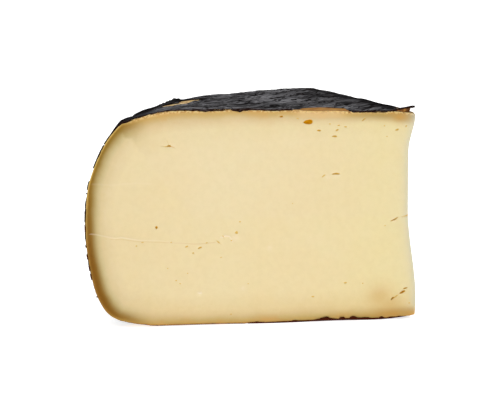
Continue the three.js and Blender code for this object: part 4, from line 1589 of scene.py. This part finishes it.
def coat_material():
    nodes = Nodes("coating")
    ridge = nodes.mark("ridge")
    # Darker places keep less dust and painted sheen; on the shoulder, the side and along the far cut this is
    # painted shade.
    dust_and_sheen_left = nodes.math("SUBTRACT", 1.0, nodes.times(nodes.mark("darker_coat"), DARKER_COAT_SHARE))
    cloudy = nodes.patches(*PATCHES["cloudy"])
    # Streaks of dust and painted sheen: reflections of the studio on the wrinkles, painted into the colour.
    streak = nodes.between(nodes.named("streak"), *STREAK_EDGE)
    fine = nodes.between(nodes.named("fine_streak"), *FINE_STREAK_EDGE)
    dust_and_sheen = nodes.math("MULTIPLY_ADD", fine, FINE_STREAK_SHARE, nodes.times(streak, STREAK_SHARE))
    # Painted highlights along the crest lines.
    dust_and_sheen = nodes.math("ADD", dust_and_sheen, nodes.lines("crest", CREST_SHEEN))
    dust_and_sheen = nodes.times(dust_and_sheen, nodes.times(cloudy, dust_and_sheen_left))
    # Painted highlights on the wrinkles' ridges.
    dust_and_sheen = nodes.math("MULTIPLY_ADD", nodes.times(ridge, dust_and_sheen_left), RIDGE_SHEEN, dust_and_sheen)
    # Painted shade along the trough lines, where the creases are dark.
    dust_and_sheen = nodes.times(dust_and_sheen, nodes.lines("trough", TROUGH_SHADE))
    colour = nodes.mix(dust_and_sheen, COAT_BLACK, COAT_DUST_AND_SHEEN)
    # A painted cold sheen, rust, the cut edges and the underside.
    for share, tone in (
            (nodes.times(nodes.mark("sheen"), SHEEN_SHARE), SHEEN_TONE),
            (nodes.patches(*PATCHES["rust"]), RUST_TONE),
            (nodes.mark("edge"), EDGE_TONE),
            (nodes.mark("base_edge"), BASE_EDGE_TONE),
            (nodes.times(nodes.mark("underside"), UNDERSIDE_SHARE), UNDERSIDE_TONE)):
        colour = nodes.mix(share, colour, tone)
    height = nodes.named("fine_crumple")
    height = nodes.math("MULTIPLY_ADD", height, FINE_CRUMPLE_SHARE, nodes.named("crumple"))
    rough = nodes.patches(*PATCHES["coat_rough"])
    return nodes.finish(Base_Color=colour, Roughness=rough, Normal=nodes.bump(height, *COAT_BUMP),
                        Specular_IOR_Level=0.0)


def torn_rind_material():
    nodes = Nodes("torn rind")
    dark, torn = (nodes.times(value, 0.5) for value in (nodes.mark("dark"), nodes.named("torn")))
    colour = nodes.ramp(nodes.math("ADD", dark, torn), TORN_TONES)
    burnt = nodes.mix(nodes.patches(*PATCHES["burnt"]), *BURNT_TONES)
    colour = nodes.mix(nodes.mark("black"), colour, burnt)
    normal = nodes.bump(nodes.named("torn_relief"), *TORN_BUMP)
    return nodes.finish(Base_Color=colour, Roughness=0.6, Normal=normal, Specular_IOR_Level=0.2)


def floor_material():
    nodes = Nodes("floor")
    colour = nodes.mix(nodes.named("floor"), *FLOOR_TONES)
    return nodes.finish(Base_Color=colour, Roughness=0.9, Specular_IOR_Level=0.1,
                        Emission_Color=WHITE, Emission_Strength=FLOOR_GLOW)


# The studio.

def add_camera():
    data = bpy.data.cameras.new("camera")
    data.lens = CAMERA_LENS
    data.sensor_width = CAMERA_SENSOR
    data.clip_start, data.clip_end = CAMERA_CLIP
    camera = add_object("camera", data)
    camera.location = to_frame(CAMERA_PLACE)
    ahead = Vector((math.sin(CAMERA_HEADING) * math.cos(CAMERA_PITCH),
                    math.cos(CAMERA_HEADING) * math.cos(CAMERA_PITCH), -math.sin(CAMERA_PITCH)))
    camera.rotation_mode = "QUATERNION"
    camera.rotation_quaternion = ahead.to_track_quat("-Z", "Y") @ Quaternion((0, 0, 1), CAMERA_ROLL)
    bpy.context.scene.camera = camera


def add_lights():
    for name, place, size, power in LIGHTS:
        data = bpy.data.lights.new(name, "AREA")
        data.shape = "DISK"
        data.size = size
        data.energy = power
        light = add_object(name, data)
        light.location = place
        towards = Vector(LIGHT_TARGET) - Vector(place)
        light.rotation_euler = towards.to_track_quat("-Z", "Y").to_euler()


def add_world():
    world = bpy.data.worlds.new("studio")
    world.use_nodes = True
    tree = world.node_tree
    up = tree.nodes.new("ShaderNodeSeparateXYZ")
    tree.links.new(tree.nodes.new("ShaderNodeTexCoord").outputs["Generated"], up.inputs[0])
    ramp = tree.nodes.new("ShaderNodeValToRGB")
    for element, place, colour in zip(ramp.color_ramp.elements, WORLD_RISE, (WORLD_LOW, WORLD_HIGH)):
        element.position = place
        element.color = colour
    tree.links.new(up.outputs["Z"], ramp.inputs["Fac"])
    background = tree.nodes["Background"]
    tree.links.new(ramp.outputs["Color"], background.inputs["Color"])
    background.inputs["Strength"].default_value = WORLD_STRENGTH
    bpy.context.scene.world = world


def add_floor():
    corners = [(x * FLOOR_HALF, y * FLOOR_HALF, FLOOR_BELOW) for x, y in ((-1, -1), (1, -1), (1, 1), (-1, 1))]
    mesh = bpy.data.meshes.new("floor")
    mesh.from_pydata(corners, [], [(0, 1, 2, 3)])
    mesh.materials.append(floor_material())
    add_object("floor", mesh)


def add_piece(name, made, sharp_angle, material):
    """A smooth-shaded piece that rides on the root and replaces the cheese. Its marks are
    attributes of its points."""
    points, triangles, marks = made
    mesh = bpy.data.meshes.new(name)
    mesh.from_pydata(to_frame(points).tolist(), [], triangles.tolist())
    for mark, values in marks.items():
        mesh.attributes.new(mark, "FLOAT", "POINT").data.foreach_set("value", values.astype(np.float32))
    mesh.polygons.foreach_set("use_smooth", np.ones(len(mesh.polygons), bool))
    mesh.set_sharp_from_angle(angle=math.radians(sharp_angle))
    mesh.materials.append(material)
    piece = add_object(name, mesh)
    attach(piece, "root")
    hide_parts("cheese")


add_camera()
add_lights()
add_world()
add_floor()
bpy.context.scene.view_settings.view_transform = "Standard"
bpy.context.scene.view_settings.look = "None"
add_piece("paste", paste_mesh(), SHARP_PASTE, paste_material())
add_piece("coating", coat_mesh(), SHARP_COATING, coat_material())
add_piece("torn_rind", flap_mesh(), SHARP_TORN_RIND, torn_rind_material())
